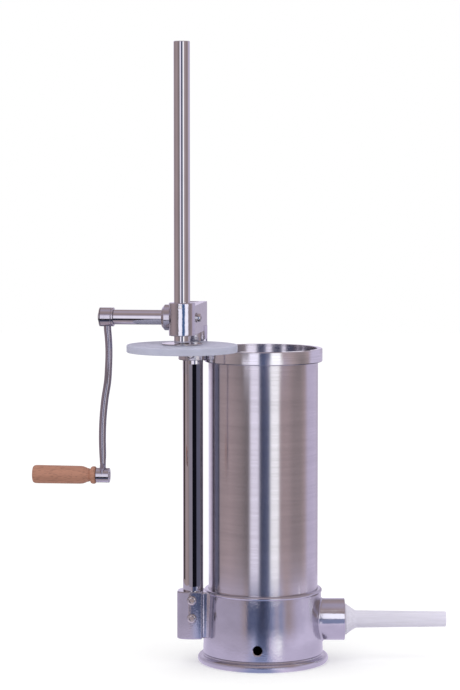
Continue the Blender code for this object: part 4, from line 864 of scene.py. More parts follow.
def add_head(size):
    """The head: a block with eased edges, the rod's nose at its front and the boss below its rear end."""
    edge = size.head_edge
    back, front, half = -0.017, 0.08875, 0.016
    plan = [(back, -half, edge * 1.5), (front, -half, edge), (front, half, edge), (back, half, edge * 1.5)]
    outline = eased(plan, True)
    loops = pillow(outline, HEAD_LOW_Z, HEAD_TOP_Z, edge)
    sink_r, hole_r, ledge, shoulder = 0.0101, 0.0063, 0.454, 0.45
    steps = ((0.0105, HEAD_TOP_Z), (sink_r, 0.4636), (sink_r, ledge), (hole_r, ledge), (hole_r, shoulder))
    steps += ((BUSH_BORE_R, shoulder), (BUSH_BORE_R, HEAD_LOW_Z))
    sink = [(at_radius(outline, radius), height) for radius, height in steps]
    block = shaped("head_body", [(stacked([*loops, *sink], HEAD), True)])
    rod_bore = drill("rod_bore", ROD_BORE_R, 0.42, 0.48, ROD)
    rear, face, pinion_back, mouth = -0.03, 0.02, -0.0086, 0.0124
    steps = [(0, rear), (hole_r, rear), (hole_r, SHAFT_START), (0.0053, SHAFT_START)]
    steps += [(0.0053, pinion_back), (mouth, pinion_back), (mouth, face), (0, face)]
    bored(block, [rod_bore, shaped("shaft_bore", [turned(np.array(steps), CRANK)])])
    add_piece(block, "head", cast_aluminium, "head_block")

    corners = section(NOSE_R, ROD_BORE_R, 0.4272, 0.468, edge, 0.0003)
    nose = ring("rod_nose", corners, ROD, FINE_COLUMNS)
    guide = facing(ROD, 0, 0.4635)
    bored(nose, [drill("guide_bore", 0.0026, 0.011, 0.02, guide, 32)])
    add_piece(nose, "head", cast_aluminium, "head_block")
    low, high = 0.407, 0.434
    corners = [(COLLAR_R, low, 0.0008), (COLLAR_R, high, 0), (BUSH_BORE_R, high, 0)]
    corners += [(BUSH_BORE_R, low, 0.0004)]
    boss = ring("rear_boss", corners, HEAD)
    add_piece(boss, "head", cast_aluminium, "head_block")
    made = washer("swivel_sleeve", 0.0127, BUSH_INNER_R, 0.4073, BUSH_TOP_Z, HEAD)
    add_piece(made, "head", sintered_bronze, "swivel_bush")

    top = 0.01575
    corners = [(0, 0.0106, 0), (0.0023, 0.0106, 0.0002), (0.0023, top, 0.0002), (0.0016, top, 0)]
    screw = socketed("guide_screw", corners, 0.0013, top, 0.0115, guide)
    add_piece(screw, "head", zinc_plate, "rod_guide_screw")


def add_shaft(size):
    """The flanged bush, the crank shaft with its pinion, and the washer and screw at its inner end."""
    bevel = size.flange_bevel
    face, end, sleeve_r, flange_r, bore_r = 0.0163, 0.0271, 0.0121, 0.0161, 0.0095
    corners = [(sleeve_r, SHAFT_SHOULDER, 0.0002), (sleeve_r, face, 0), (flange_r, face, 0.0003)]
    corners += [(flange_r, end - bevel, 0.0003), (0.0122, end, 0.0003), (bore_r, end, 0.0003)]
    corners += [(bore_r, SHAFT_SHOULDER, 0.0002)]
    made = ring("shaft_flange", corners, CRANK)
    add_piece(made, "head", turned_aluminium, "shaft_bush")
    back, hub, end = -0.0083, 0.088, 0.1042
    tail_r, core_r, shaft_r, stub_r = 0.005, 0.0077, 0.0092, 0.006
    corners = [(0, SHAFT_START, 0), (tail_r, SHAFT_START, 0.0003), (tail_r, back, 0), (core_r, back, 0)]
    corners += [(core_r, SHAFT_SHOULDER, 0), (shaft_r, SHAFT_SHOULDER, 0), (shaft_r, hub, 0.0003)]
    corners += [(stub_r, hub, 0), (stub_r, end, 0.0003), (0, end, 0)]
    made = turning("crank_shaft", corners, CRANK)
    add_piece(made, "crank", chrome_plate, "pinion_shaft")
    made = shaped("pinion_gear", [(pinion_grid(), True)])
    add_piece(made, "crank", chrome_plate, "pinion_shaft")
    back = place(CRANK[0], -CRANK[1][2], CRANK[1][0])
    made = washer("end_washer", 0.006, 0.0023, 0.0157, 0.0169, back, columns=SCREW_COLUMNS)
    add_piece(made, "crank", zinc_plate, "shaft_end_washer")
    made = button_screw("end_screw", 0.005, 0.0042, 0.002, 0.0078, raised(back, (0, 0, 0.0172)), 0.3)
    add_piece(made, "crank", zinc_plate, "shaft_end_screw")


def pinion_grid():
    """Involute pinion: at radius r a flank is half tooth + inv(pitch) - inv(r) from the tooth's middle."""
    pitch_r = MODULE * TEETH / 2
    tip_r = pitch_r + 0.9 * MODULE
    base_r = pitch_r * math.cos(PRESSURE)
    half = (math.pi * MODULE / 2 - 0.15 * MODULE) / (2 * pitch_r)
    radius = np.linspace(base_r, tip_r, 6)
    angle = np.arccos(np.minimum(1, base_r / radius))
    turn = half + (math.tan(PRESSURE) - PRESSURE) - (np.tan(angle) - angle)
    radius = np.concatenate(([pitch_r - MODULE], radius))
    turn = np.concatenate((turn[:1], turn))
    r = np.concatenate([radius, radius[::-1]])[None]
    around = TAU / 4 + TAU * np.arange(TEETH)[:, None] / TEETH + np.concatenate([-turn, turn[::-1]])[None]
    outline = np.stack([r * np.cos(around), r * np.sin(around)], -1).reshape(-1, 2)
    inner = at_radius(outline, 0.0075)
    half_width = 0.008
    loops = [(inner, -half_width), (outline, -half_width), (outline, half_width), (inner, half_width)]
    return stacked(loops, CRANK)


ARM_R = 0.0046
ARM_BEND = 0.0065
CRANK_RADIUS = 0.1985
HUB_MIDDLE = 0.0964
GRIP_HUB_START = 0.09455
GRIP_HUB_END = 0.11125


def add_crank_hub(size):
    """The upper hub with its groove, its washer and its screw."""
    edge = size.hub_edge
    start, end = 0.0883, 0.1045
    groove_r, bore_r = 0.0112, 0.0063
    corners = [(HUB_R, start, edge / 2), (HUB_R, 0.0902, 0.0003), (groove_r, 0.0906, 0.0001)]
    corners += [(groove_r, 0.0910, 0.0001), (HUB_R, 0.0914, 0.0003), (HUB_R, end, edge)]
    corners += [(bore_r, end, 0.0003), (bore_r, start, 0.0003)]
    made = ring("crank_hub_ring", corners, CRANK)
    add_piece(made, "crank", turned_aluminium, "crank_hub")
    made = washer("hub_end_washer", HUB_R, 0.0033, 0.1048, 0.106, CRANK, 0.0004)
    add_piece(made, "crank", zinc_plate, "hub_washer")
    made = button_screw("hub_end_screw", 0.0058, 0.0016, 0.003, 0.0118, raised(CRANK, (0, 0, 0.1063)))
    add_piece(made, "crank", chrome_plate, "hub_screw")


def add_crank_arm():
    """The swept arm and the tongue that it ends in, each a circle carried along a curve.

    Shares are the distance below the shaft over the crank's radius, the outward bend over its largest
    value, and the arm's radius over its full one.
    """
    shares = np.array([
        (0.0433, 0.0, 1.0), (0.07, 0.0, 1.0), (0.13, -0.16, 1.0), (0.21, -0.26, 0.98), (0.31, -0.18, 0.99),
        (0.395, -0.02, 1.0), (0.52, 0.57, 1.0), (0.645, 0.95, 0.98), (0.77, 1.08, 0.97), (0.87, 1.02, 0.93),
        (0.935, 1.0, 0.80), (0.9555, 1.0, 0.80),
    ])
    below = np.linspace(shares[0, 0], shares[-1, 0], 90)
    out = HUB_MIDDLE + ARM_BEND * smoothed(below, shares[:, 0], shares[:, 1])
    radii = ARM_R * smoothed(below, shares[:, 0], shares[:, 2])
    path = np.stack([below * CRANK_RADIUS, 0 * below, out], -1)
    tube = capped(swept(path, radii, np.array([0.0, 1.0, 0.0]), CRANK))
    made = shaped("swept_arm", [tube])
    add_piece(made, "crank", drawn_steel, "crank_arm")

    t = np.linspace(0, 1, 24)
    tongue_x = CRANK_RADIUS - 0.0135 + 0.0155 * t
    tongue_y = 0.0074 * np.sin(t * TAU / 4) ** 0.8
    path = np.stack([tongue_x, tongue_y, 0 * t + GRIP_HUB_START + 0.00835], -1)
    radii = 0.0037 * np.sqrt(np.clip(1 - t ** 2.4, 0, 1)) * (1 - 0.25 * t) + 1e-5
    made = shaped("arm_tongue", [capped(swept(path, radii, np.array([0.0, 1.0, 0.0]), CRANK, 24))])
    add_piece(made, "crank", drawn_steel, "crank_arm")


def add_grip_hub(size):
    """The lower hub and the slotted pin that the grip turns on."""
    edge = size.hub_edge
    grip_at = raised(CRANK, (CRANK_RADIUS, 0, 0))
    corners = section(0.0092, PIN_BORE_R, GRIP_HUB_START, GRIP_HUB_END, edge, 0.0003)
    made = ring("grip_hub_ring", corners, grip_at)
    add_piece(made, "crank", turned_aluminium, "grip_hub")
    head = GRIP_HUB_END + SEAM_GAP + GRIP_LENGTH - 0.0045 + SEAM_GAP
    end = GRIP_HUB_START - 0.0005
    head_r, top = 0.0065, head + 0.003
    corners = [(0, end, 0), (PIN_R, end, 0.0004), (PIN_R, head, 0), (head_r, head, 0.0002)]
    corners += [(head_r, top, 0.0006), (0, top, 0)]
    pin = turning("grip_pin_body", corners, grip_at, SCREW_COLUMNS)
    slot = np.array([(-1, -1), (1, -1), (1, 1), (-1, 1)]) * (0.006, 0.0006)
    outside, floor = end - 0.002, end + 0.001
    loops = [(0 * slot, outside), (slot, outside), (slot, floor), (0 * slot, floor)]
    bored(pin, [shaped("pin_slot", [stacked(loops, grip_at)])])
    add_piece(pin, "crank", zinc_plate, "grip_pin")


def add_grip():
    """The turned grip: bead, groove and neck beside the hub, then a barrel with rounded ends."""
    start = GRIP_HUB_END + SEAM_GAP
    corners = [(PIN_BORE_R, 0, 0.0003), (0.0098, 0, 0.0009), (0.0110, 0.0014, 0.0008)]
    corners += [(0.0110, 0.0044, 0.0012), (0.0100, 0.0062, 0.0007), (0.0078, 0.0070, 0.0003)]
    corners += [(0.0077, 0.0082, 0.0003), (0.0084, 0.0088, 0.0003), (0.0086, 0.0106, 0.0008)]
    corners += [(0.0099, 0.0136, 0.0013), (0.0109, 0.0166, 0.0014), (0.0112, 0.0200, 0.0020)]
    corners += [(0.0115, 0.0745, 0.0025), (0.0113, 0.0776, 0.0012), (0.0101, GRIP_LENGTH, 0.0010)]
    recess_r, recess = 0.0068, 0.0755
    corners += [(recess_r, GRIP_LENGTH, 0.0004), (recess_r, recess, 0), (PIN_BORE_R, recess, 0)]
    at = raised(CRANK, (CRANK_RADIUS, 0, start))
    made = ring("beech_grip", corners, at)
    add_piece(made, "grip", oiled_beech, "wooden_grip")


ROD_R = 0.010
RACK_TIP = 0.008
RACK_ROOT = 0.004


def add_rack():
    """The rod with its rack: at height z the section is x = max(R cos t, -d(z)), y = R sin t.

    The depth d is the rod's radius above and below the rack, 8 mm on the teeth's lands and 4 mm in the
    gaps between them, with 25 degree flanks. Columns stand exactly where the circle meets each depth.
    """
    pitch = math.pi * MODULE
    slope = math.tan(PRESSURE)
    tip_half = pitch / 4 + ADDENDUM * slope
    root_half = pitch / 4 - DEDENDUM * slope
    lift = 0.008
    travel = 0.32
    reach = math.sqrt(PINION_TIP_R ** 2 - (CRANK_OFFSET - RACK_TIP) ** 2)
    flat = math.sqrt(PINION_TIP_R ** 2 - (CRANK_OFFSET - ROD_R) ** 2) + 0.0006
    below = int((lift + reach + tip_half) / pitch)
    above = int((travel + reach + tip_half) / pitch)
    gaps = CRANK_AXIS_Z + pitch * np.arange(-below, above + 1)[:, None]
    heights = (gaps + np.array([-tip_half, -root_half, root_half, tip_half])).ravel()
    depths = np.tile([RACK_TIP, RACK_ROOT, RACK_ROOT, RACK_TIP], len(gaps))
    low = CRANK_AXIS_Z - lift - flat
    high = CRANK_AXIS_Z + travel + flat
    bottom, top = span("rack_rod")
    heights = np.concatenate([[low, low + 0.0001], heights, [high - 0.0001, high]])
    depths = np.concatenate([[ROD_R, RACK_TIP], depths, [RACK_TIP, ROD_R]])
    wide = math.acos(-RACK_ROOT / ROD_R)
    narrow = math.acos(-RACK_TIP / ROD_R)
    half = np.concatenate([
        np.linspace(0, wide, 32, endpoint=False), np.linspace(wide, narrow, 8, endpoint=False),
        np.linspace(narrow, math.pi, 8, endpoint=False),
    ])
    t = np.concatenate([half, [math.pi], -half[:0:-1]])
    edge = 0.001
    lead = np.linspace(0, TAU / 4, EASE_STEPS + 1)
    ends_r = ROD_R - edge * (1 - np.sin(lead))
    ends_z = edge * (1 - np.cos(lead))
    low_rows = np.concatenate([[0], ends_r]), bottom + np.concatenate([[0], ends_z])
    high_rows = np.concatenate([ends_r[::-1], [0]]), top - np.concatenate([ends_z[::-1], [0]])
    radius = np.concatenate([low_rows[0], np.full(len(heights), ROD_R), high_rows[0]])[:, None]
    z = np.concatenate([low_rows[1], heights, high_rows[1]])[:, None]
    depth = np.concatenate([np.full(8, ROD_R), depths, np.full(8, ROD_R)])[:, None]
    x = np.maximum(radius * np.cos(t), -depth)
    grid = np.stack([x, radius * np.sin(t), z + 0 * t], -1)
    made = shaped("toothed_rod", [placed(grid, ROD)])
    add_piece(made, "rod", chrome_plate, "rack_rod")


def add_piston(size):
    """The piston disc with its clamping washer and the countersunk screw below it."""
    low, high = span("piston_disc")
    edge = size.piston_edge
    corners = [(PISTON_R, low, edge), (PISTON_R, high, edge), (PIN_BORE_R, high, 0)]
    corners += [(PIN_BORE_R, low + COUNTERSINK, 0), (0.0093, low, 0)]
    made = ring("piston_plate", corners, ROD, FINE_COLUMNS)
    add_piece(made, "rod", white_polyethylene, "piston_disc")
    low, high = span("piston_washer")
    made = washer("clamping_washer", 0.025, PIN_BORE_R, low, high, ROD, 0.0003)
    add_piece(made, "rod", zinc_plate, "piston_washer")
    low, high = span("piston_screw")
    corners = [(0, high, 0), (PIN_R, high, 0.0005), (PIN_R, low + COUNTERSINK, 0), (0.009, low, 0.0002)]
    made = socketed("countersunk_screw", [*corners, (0.0045, low, 0)], 0.003, low, low + 0.003, ROD)
    add_piece(made, "rod", zinc_plate, "piston_screw")


# Studio

TONES = {
    "black": "000000", "ink": "181820", "slate": "383C50", "steel blue": "545C78", "blue": "8890B0",
    "pale blue": "B0B4D0", "brown": "706868", "taupe": "8C8080", "stone": "A09090", "lilac": "A8A0B0",
    "pale lilac": "B8B0C4", "mist": "C8C0D4", "cloud": "ECE8F4", "white": "FFFFFF",
}

# Walls by bearing: 0 degrees points along -Y and 90 along +X
ROOM = [
    (-180, "mist"), (-150, "mist"), (-138, "taupe"), (-75, "stone"), (-50, "taupe"), (-36, "brown"),
    (-31, "brown"), (-26, "cloud"), (-11, "cloud"), (-7, "slate"), (12, "steel blue"), (16, "white"),
    (31, "white"), (35, "stone"), (52, "stone"), (66, "taupe"), (85, "taupe"), (96, "stone"),
    (109, "pale lilac"), (140, "pale lilac"), (155, "lilac"), (172, "lilac"), (180, "mist"),
]
UPPER_WALL = [
    (-180, "pale lilac"), (-60, "lilac"), (-40, "lilac"), (-29, "stone"), (-26, "steel blue"),
    (-14, "steel blue"), (-2, "slate"), (9, "steel blue"), (15, "blue"), (22, "lilac"), (30, "blue"),
    (35, "lilac"), (42, "stone"), (60, "pale lilac"), (85, "mist"), (102, "lilac"), (130, "pale lilac"),
    (180, "pale lilac"),
]
LOWER_WALL = [
    (-180, "lilac"), (-25, "lilac"), (-15, "pale blue"), (-9, "steel blue"), (5, "steel blue"), (11, "mist"),
    (16, "cloud"), (26, "white"), (34, "pale lilac"), (60, "mist"), (130, "mist"), (180, "lilac"),
]
HIGH_WALL = [
    (-180, "lilac"), (-60, "taupe"), (-38, "brown"), (-33, "cloud"), (-10, "cloud"), (-6, "steel blue"),
    (2, "steel blue"), (8, "lilac"), (12, "white"), (28, "white"), (34, "lilac"), (50, "stone"),
    (68, "brown"), (84, "taupe"), (92, "pale lilac"), (180, "lilac"),
]
PAPER = [
    (-180, "pale lilac"), (-30, "pale lilac"), (-12, "blue"), (5, "blue"), (18, "mist"), (40, "pale lilac"),
    (180, "pale lilac"),
]
INSIDE = [
    (-180, "slate"), (-80, "slate"), (-78, "cloud"), (-67, "cloud"), (-64, "slate"), (-31, "slate"),
    (-28, "cloud"), (-12, "cloud"), (-8, "steel blue"), (1, "slate"), (20, "slate"), (24, "cloud"),
    (55, "cloud"), (60, "brown"), (180, "steel blue"),
]

# The room by height, from -1 straight down to 1 straight up, and the part of it that the walls take
LEVELS = [
    (-1, "lilac"), (-0.88, "stone"), (-0.78, "steel blue"), (-0.62, "ink"), (0.1, "ink"), (0.4, "pale lilac"),
    (0.6, "taupe"), (0.9, "stone"), (1, "lilac"),
]
BAND = [(-0.38, "black"), (-0.28, "white"), (0.3, "white"), (0.4, "black")]

LENS = 130.43
CAMERA_PLACE = (-0.014805, -3.137599, 0.647)
CAMERA_TILT = math.radians(85.7)
FLOOR_HALF = 6.0
FLOOR_LIFT = 0.26
MIRRORED_LIGHT = 1.42
WALL_R = 0.25
JUST_BELOW = -0.0002
FLAG_SPAN = (0.1, 0.385)
NOSE_SPAN = (0.4265, 0.467)


def toned(stops, low, high):
    """Ramp stops between 0 and 1 from (value, tone) pairs whose values run from low to high."""
    return [((at - low) / (high - low), TONES[tone]) for at, tone in stops]


def round_about(tree, vector, walls):
    """Colour by bearing about Z."""
    split = node(tree, "ShaderNodeSeparateXYZ", {0: vector})
    front = node(tree, "ShaderNodeMath", {0: split.outputs[1], 1: -1.0}, operation='MULTIPLY')
    bearing = node(tree, "ShaderNodeMath", {0: split.outputs[0], 1: front.outputs[0]}, operation='ARCTAN2')
    share = node(tree, "ShaderNodeMapRange", {0: bearing.outputs[0], 1: -math.pi, 2: math.pi})
    return node(tree, "ShaderNodeValToRGB", {0: share.outputs[0]}, toned(walls, -180, 180)).outputs[0]


def add_card(name, points, quads, colour, strength, walls=()):
    """A studio card that only mirror images see: plain, or coloured by bearing about the base's axis."""
    mesh = bpy.data.meshes.new(name)
    mesh.from_pydata(points, [], quads)
    card = bpy.data.objects.new(name, mesh)
    bpy.context.scene.collection.objects.link(card)
    for ray in ("camera", "diffuse", "transmission", "volume_scatter", "shadow"):
        setattr(card, "visible_" + ray, False)
    made = bpy.data.materials.new(name)
    made.use_nodes = True
    tree = made.node_tree
    tree.nodes.clear()
    glow = node(tree, "ShaderNodeEmission", {0: (*linear(colour), 1), 1: strength})
    if walls:
        where = node(tree, "ShaderNodeTexCoord").outputs["Object"]
        centred = node(tree, "ShaderNodeMapping", {"Vector": where, "Location": tuple(-CYLINDER_AXIS)})
        tree.links.new(round_about(tree, centred.outputs[0], walls), glow.inputs[0])
    node(tree, "ShaderNodeOutputMaterial", {"Surface": glow.outputs[0]})
    mesh.materials.append(made)


def add_cards():
    """What the polished metal mirrors besides the room: walls and discs round the base, and upright cards.

    The cards stand close to the rim, the boss, the nose and the post, and one stands inside the tube.
    """
    for name, profile, colour, strength, stops in (
        ("low wall, upper part", [(WALL_R, 0.022), (WALL_R, 0.076)], "FFFFFF", 1.4, UPPER_WALL),
        ("low wall, lower part", [(WALL_R, -0.02), (WALL_R, 0.022)], "FFFFFF", 1.6, LOWER_WALL),
        ("high wall", [(WALL_R, 0.3595), (WALL_R, 0.380)], "FFFFFF", 1.45, HIGH_WALL),
        ("paper round the foot", [(0.078, JUST_BELOW), (0.26, JUST_BELOW)], "FFFFFF", 1.6, PAPER),
        ("shade under base", [(0.001, -0.0003), (0.077, -0.0003)], "000000", 0, ()),
        ("glow in tube", [(0.001, 0.30), (0.066, 0.30)], "B9B3C2", 0.9, ()),
    ):
        grid = turned(np.array(profile), BASE)
        quads = woven(grid, False, 0)[0].tolist()
        add_card(name, grid.reshape(-1, 3).tolist(), quads, colour, strength, stops)

    middle_x, middle_y, _ = CYLINDER_AXIS
    angles = np.radians(np.linspace(-110, 110, 45))
    curve = [(middle_x + 0.06 * math.sin(angle), middle_y - 0.06 * math.cos(angle)) for angle in angles]
    boss = [(middle_x + 0.076, middle_y - 0.0592), (middle_x + 0.112, middle_y - 0.0630)]
    x, y, _ = POST_AXIS
    nose_x, rod_y, _ = ROD_AXIS
    nose_y = rod_y - 0.03
    for name, line, (low, high), colour, strength, stops in (
        ("walls inside the tube", curve, (0.31, 0.415), "FFFFFF", 1.5, INSIDE),
        ("white strip ahead of boss", boss, (0.066, 0.096), "F2F2FA", 1.7, ()),
        ("blue strip ahead of boss", boss, (0.044, 0.063), "98A0C2", 1.0, ()),
        ("white card left of nose", [(nose_x - 0.0125, nose_y), (nose_x + 0.0008, nose_y)], NOSE_SPAN,
         "F4F4FC", 1.7, ()),
        ("blue card ahead of nose", [(nose_x + 0.0008, nose_y), (nose_x + 0.0108, nose_y)], NOSE_SPAN,
         "5A7AA8", 1.0, ()),
        ("white card right of nose", [(nose_x + 0.0108, nose_y), (nose_x + 0.032, nose_y)], NOSE_SPAN,
         "F4F4FC", 1.7, ()),
        ("flag ahead of post", [(x - 0.001, y - 0.016), (x + 0.0078, y - 0.016)], FLAG_SPAN,
         "14141C", 1.0, ()),
        ("grey card left of flag", [(x - 0.0085, y - 0.0155), (x - 0.001, y - 0.016)], FLAG_SPAN,
         "A59FAC", 1.0, ()),
        ("dim card right of flag", [(x + 0.0078, y - 0.016), (x + 0.0135, y - 0.009)], FLAG_SPAN,
         "6C6C80", 1.0, ()),
        ("flag beside post", [(x - 0.062, y + 0.002), (x - 0.062, y + 0.027)], FLAG_SPAN, "14141C", 1.0, ()),
    ):
        count = len(line)
        points = [(*end, z) for z in (low, high) for end in line]
        quads = [(at, at + 1, count + at + 1, count + at) for at in range(count - 1)]
        add_card(name, points, quads, colour, strength, stops)


def add_camera():
    """The photograph's camera: a long lens from a little above, tilted down."""
    scene = bpy.context.scene
    scene.view_settings.view_transform = 'Standard'
    lens = bpy.data.cameras.new("camera")
    lens.sensor_width = 36
    lens.lens = LENS
    lens.clip_end = 50
    camera = bpy.data.objects.new("camera", lens)
    camera.location = CAMERA_PLACE
    camera.rotation_euler = (CAMERA_TILT, 0, 0)
    scene.collection.objects.link(camera)
    scene.camera = camera


def add_floor():
    """Seamless paper that keeps the shadow, with painted black shade under the foot, lifted to white for the
    camera only.
    """
    half = FLOOR_HALF
    mesh = bpy.data.meshes.new("floor")
    square = [(-half, -half, 0), (half, -half, 0), (half, half, 0), (-half, half, 0)]
    mesh.from_pydata(square, [], [(0, 1, 2, 3)])
    floor = bpy.data.objects.new("floor", mesh)
    bpy.context.scene.collection.objects.link(floor)
    floor.visible_glossy = False
    paper = bpy.data.materials.new("seamless paper")
    paper.use_nodes = True
    tree = paper.node_tree
    tree.nodes.clear()
    where = node(tree, "ShaderNodeTexCoord").outputs["Object"]
    fibres = speckle(tree, where, (0.004, 0.004, 0.004), 0.78, 0.82)
    camera_ray = node(tree, "ShaderNodeLightPath").outputs["Is Camera Ray"]
    apart = {0: where, 1: tuple(CYLINDER_AXIS)}
    aside = node(tree, "ShaderNodeVectorMath", apart, operation='DISTANCE').outputs[1]
    # Painted shade: inside the foot's radius the paper is black and gets no lift to white.
    beyond = node(tree, "ShaderNodeMath", {0: aside, 1: FOOT_R - 0.005}, operation='GREATER_THAN')
    paper_and_painted_shade = node(tree, "ShaderNodeMath", {0: beyond.outputs[0], 1: fibres}, operation='MULTIPLY')
    matt = node(tree, "ShaderNodeBsdfDiffuse", {"Color": paper_and_painted_shade.outputs[0]})
    lift = node(tree, "ShaderNodeMath", {0: beyond.outputs[0], 1: FLOOR_LIFT}, operation='MULTIPLY')
    glow = node(tree, "ShaderNodeEmission", {"Color": (1, 1, 1, 1), "Strength": lift.outputs[0]})
    seen = node(tree, "ShaderNodeAddShader", {0: matt.outputs[0], 1: glow.outputs[0]})
    both = node(tree, "ShaderNodeMixShader", {0: camera_ray, 1: matt.outputs[0], 2: seen.outputs[0]})
    node(tree, "ShaderNodeOutputMaterial", {"Surface": both.outputs[0]})
    mesh.materials.append(paper)


def add_lamp():
    """One soft lamp above and ahead of the object, which metal doesn't mirror."""
    lamp = bpy.data.lights.new("soft lamp", 'AREA')
    lamp.energy = 5
    lamp.size = 1.2
    light = bpy.data.objects.new("soft lamp", lamp)
    light.location = (-0.4, -0.9, 1.9)
    light.rotation_euler = (math.radians(25), 0, math.radians(-24))
    light.visible_glossy = False
    bpy.context.scene.collection.objects.link(light)


def add_world():
    """Plain white light, a white background, and for mirror images a room with walls, floor and ceiling."""
    world = bpy.data.worlds.new("studio")
    bpy.context.scene.world = world
    world.use_nodes = True
    world.cycles.sampling_method = 'NONE'
    tree = world.node_tree
    tree.nodes.clear()
    way = node(tree, "ShaderNodeTexCoord").outputs["Generated"]
    level = round_about(tree, way, ROOM)
    height = node(tree, "ShaderNodeSeparateXYZ", {0: way}).outputs[2]
    rise = node(tree, "ShaderNodeMapRange", {0: height, 1: -1.0, 2: 1.0}).outputs[0]
    up_down = node(tree, "ShaderNodeValToRGB", {0: rise}, toned(LEVELS, -1, 1))
    near = node(tree, "ShaderNodeValToRGB", {0: rise}, toned(BAND, -1, 1))
    layers = {0: near.outputs[0], 6: up_down.outputs[0], 7: level}
    room = node(tree, "ShaderNodeMix", layers, data_type='RGBA')
    mirror = node(tree, "ShaderNodeBackground", {0: room.outputs[2], 1: MIRRORED_LIGHT})
    soft = node(tree, "ShaderNodeBackground", {0: (1, 1, 1, 1), 1: 1.0})
    white = node(tree, "ShaderNodeBackground", {0: (1, 1, 1, 1), 1: 1.0})
    ray = node(tree, "ShaderNodeLightPath").outputs
    by_ray = {0: ray["Is Glossy Ray"], 1: soft.outputs[0], 2: mirror.outputs[0]}
    lit = node(tree, "ShaderNodeMixShader", by_ray)
    through = {0: ray["Is Camera Ray"], 1: ray["Is Transmission Ray"]}
    clear = node(tree, "ShaderNodeMath", through, operation='MAXIMUM')
    whole = node(tree, "ShaderNodeMixShader", {0: clear.outputs[0], 1: lit.outputs[0], 2: white.outputs[0]})
    node(tree, "ShaderNodeOutputWorld", {"Surface": whole.outputs[0]})


# Settings, operators and panel


def length(name, description, default):
    """A length property in metres."""
    return bpy.props.FloatProperty(
        name=name, description=description, default=default, min=0, unit='LENGTH', subtype='DISTANCE',
        precision=5,
    )


def tint(name, description, default):
    """A colour property from an sRGB hex colour."""
    return bpy.props.FloatVectorProperty(
        name=name, description=description, default=linear(default), min=0, max=1, size=3, subtype='COLOR',
    )


class StufferSizes(bpy.types.PropertyGroup):
    """Small sizes that can be changed without touching the CAD model's main sizes."""

    boss_fillet: length("Boss fillet", "Fillet between the outlet boss and the base's wall", 0.003)
    rim_edge: length("Rim edge", "Rounding of the rim band's outer edges", 0.0013)
    head_edge: length("Head edge", "Rounding of the head's edges", 0.001)
    flange_bevel: length("Flange bevel", "Bevel on the crank shaft's flange", 0.0034)
    hub_edge: length("Hub edge", "Rounding of the two crank hubs", 0.0006)
    piston_edge: length("Piston edge", "Rounding of the piston's edges", 0.001)
    lug_crown: bpy.props.FloatProperty(
        name="Lug crown", description="Curvature of the lug's front face, in 1/m", default=7.0, min=0, max=20,
    )


class StufferFinishes(bpy.types.PropertyGroup):
    """Base colours of the finishes."""

    casting: tint("Casting", "Polished cast aluminium of the base and the head", "C6C4CD")
    machined: tint("Machined", "Turned aluminium of collar, flange and hubs", "CAC8D0")
    stainless: tint("Stainless", "Brushed stainless steel of the tube", "D2CFD6")
    band: tint("Band", "Buffed stainless steel of the rim band", "DEDDE4")
    chrome: tint("Chrome", "Chrome plate of post, rod and shaft", "CFCDD3")
    bar: tint("Bar", "Drawn steel of the crank's arm", "AAA7B5")
    zinc: tint("Zinc", "Bright zinc plate of screws and washers", "C8C7CF")
    bronze: tint("Bronze", "Sintered bronze of the swivel bush", "A8814E")
    piston: tint("Piston", "White polyethylene of the piston disc", "B6B7CB")
    nozzle: tint("Nozzle", "Milky polypropylene of the nozzle", "E2DEF0")
    rubber: tint("Rubber", "Black rubber of the seals", "2A2A2C")
    beech: tint("Beech", "Oiled beech of the grip", "B07C67")


class STUFFER_OT_studio(bpy.types.Operator):
    """Make the camera, the floor, the cards that metal mirrors, the lamp and the world"""

    bl_idname = "stuffer.studio"
    bl_label = "Studio"

    def execute(self, context):
        add_camera()
        add_floor()
        add_cards()
        add_lamp()
        add_world()
        return {'FINISHED'}


class STUFFER_OT_base(bpy.types.Operator):
    """Make the base casting: body, outlet boss and post lug"""

    bl_idname = "stuffer.base"
    bl_label = "Base casting"

    def execute(self, context):
        add_base_body()
        add_outlet_boss(context.scene.stuffer_sizes)
        add_post_lug(context.scene.stuffer_sizes)
        return {'FINISHED'}


class STUFFER_OT_cylinder(bpy.types.Operator):
    """Make the steel tube, its rim band and its seal"""

    bl_idname = "stuffer.cylinder"
    bl_label = "Cylinder"

    def execute(self, context):
        add_cylinder(context.scene.stuffer_sizes)
        return {'FINISHED'}


class STUFFER_OT_nozzle(bpy.types.Operator):
    """Make the filling nozzle and its gasket"""

    bl_idname = "stuffer.nozzle"
    bl_label = "Nozzle"

    def execute(self, context):
        add_nozzle()
        return {'FINISHED'}


class STUFFER_OT_post(bpy.types.Operator):
    """Make the post, its collar, washers and screws"""

    bl_idname = "stuffer.post"
    bl_label = "Post and collar"

    def execute(self, context):
        add_post()
        add_collar()
        return {'FINISHED'}


class STUFFER_OT_head(bpy.types.Operator):
    """Make the swinging head, its bush and its guide screw"""

    bl_idname = "stuffer.head"
    bl_label = "Head"

    def execute(self, context):
        add_head(context.scene.stuffer_sizes)
        return {'FINISHED'}


class STUFFER_OT_shaft(bpy.types.Operator):
    """Make the crank shaft with its pinion, flange, washer and screw"""

    bl_idname = "stuffer.shaft"
    bl_label = "Crank shaft"

    def execute(self, context):
        add_shaft(context.scene.stuffer_sizes)
        return {'FINISHED'}


class STUFFER_OT_crank(bpy.types.Operator):
    """Make the crank's hubs, arm, washers and pin"""

    bl_idname = "stuffer.crank"
    bl_label = "Crank"

    def execute(self, context):
        add_crank_hub(context.scene.stuffer_sizes)
        add_crank_arm()
        add_grip_hub(context.scene.stuffer_sizes)
        return {'FINISHED'}


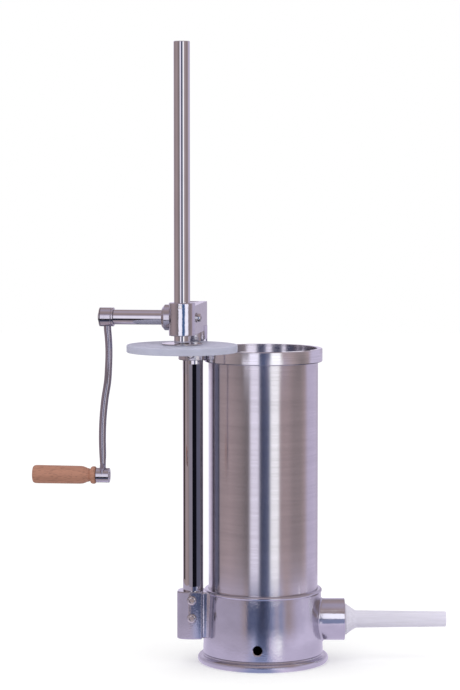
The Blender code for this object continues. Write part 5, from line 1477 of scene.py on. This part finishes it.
class STUFFER_OT_grip(bpy.types.Operator):
    """Make the wooden grip"""

    bl_idname = "stuffer.grip"
    bl_label = "Grip"

    def execute(self, context):
        add_grip()
        return {'FINISHED'}


class STUFFER_OT_rack(bpy.types.Operator):
    """Make the toothed rod"""

    bl_idname = "stuffer.rack"
    bl_label = "Toothed rod"

    def execute(self, context):
        add_rack()
        return {'FINISHED'}


class STUFFER_OT_piston(bpy.types.Operator):
    """Make the piston disc, its washer and its screw"""

    bl_idname = "stuffer.piston"
    bl_label = "Piston"

    def execute(self, context):
        add_piston(context.scene.stuffer_sizes)
        return {'FINISHED'}


OPERATORS = (
    STUFFER_OT_studio, STUFFER_OT_base, STUFFER_OT_cylinder, STUFFER_OT_nozzle, STUFFER_OT_post,
    STUFFER_OT_head, STUFFER_OT_shaft, STUFFER_OT_crank, STUFFER_OT_grip, STUFFER_OT_rack, STUFFER_OT_piston,
)


class STUFFER_PT_panel(bpy.types.Panel):
    """Lists the steps and the settings they use"""

    bl_idname = "STUFFER_PT_panel"
    bl_label = "Sausage Stuffer"
    bl_space_type = 'VIEW_3D'
    bl_region_type = 'UI'
    bl_category = "Stuffer"

    def draw(self, context):
        for operator in OPERATORS:
            self.layout.operator(operator.bl_idname)
        for group in (context.scene.stuffer_sizes, context.scene.stuffer_finishes):
            box = self.layout.box()
            for name in group.__annotations__:
                box.prop(group, name)


CLASSES = (StufferSizes, StufferFinishes, *OPERATORS, STUFFER_PT_panel)


def register():
    for each in CLASSES:
        bpy.utils.register_class(each)
    bpy.types.Scene.stuffer_sizes = bpy.props.PointerProperty(type=StufferSizes)
    bpy.types.Scene.stuffer_finishes = bpy.props.PointerProperty(type=StufferFinishes)


def unregister():
    del bpy.types.Scene.stuffer_finishes
    del bpy.types.Scene.stuffer_sizes
    for each in reversed(CLASSES):
        bpy.utils.unregister_class(each)


def main():
    register()
    for operator in OPERATORS:
        group, name = operator.bl_idname.split(".")
        getattr(getattr(bpy.ops, group), name)()


if __name__ == "__main__":
    main()
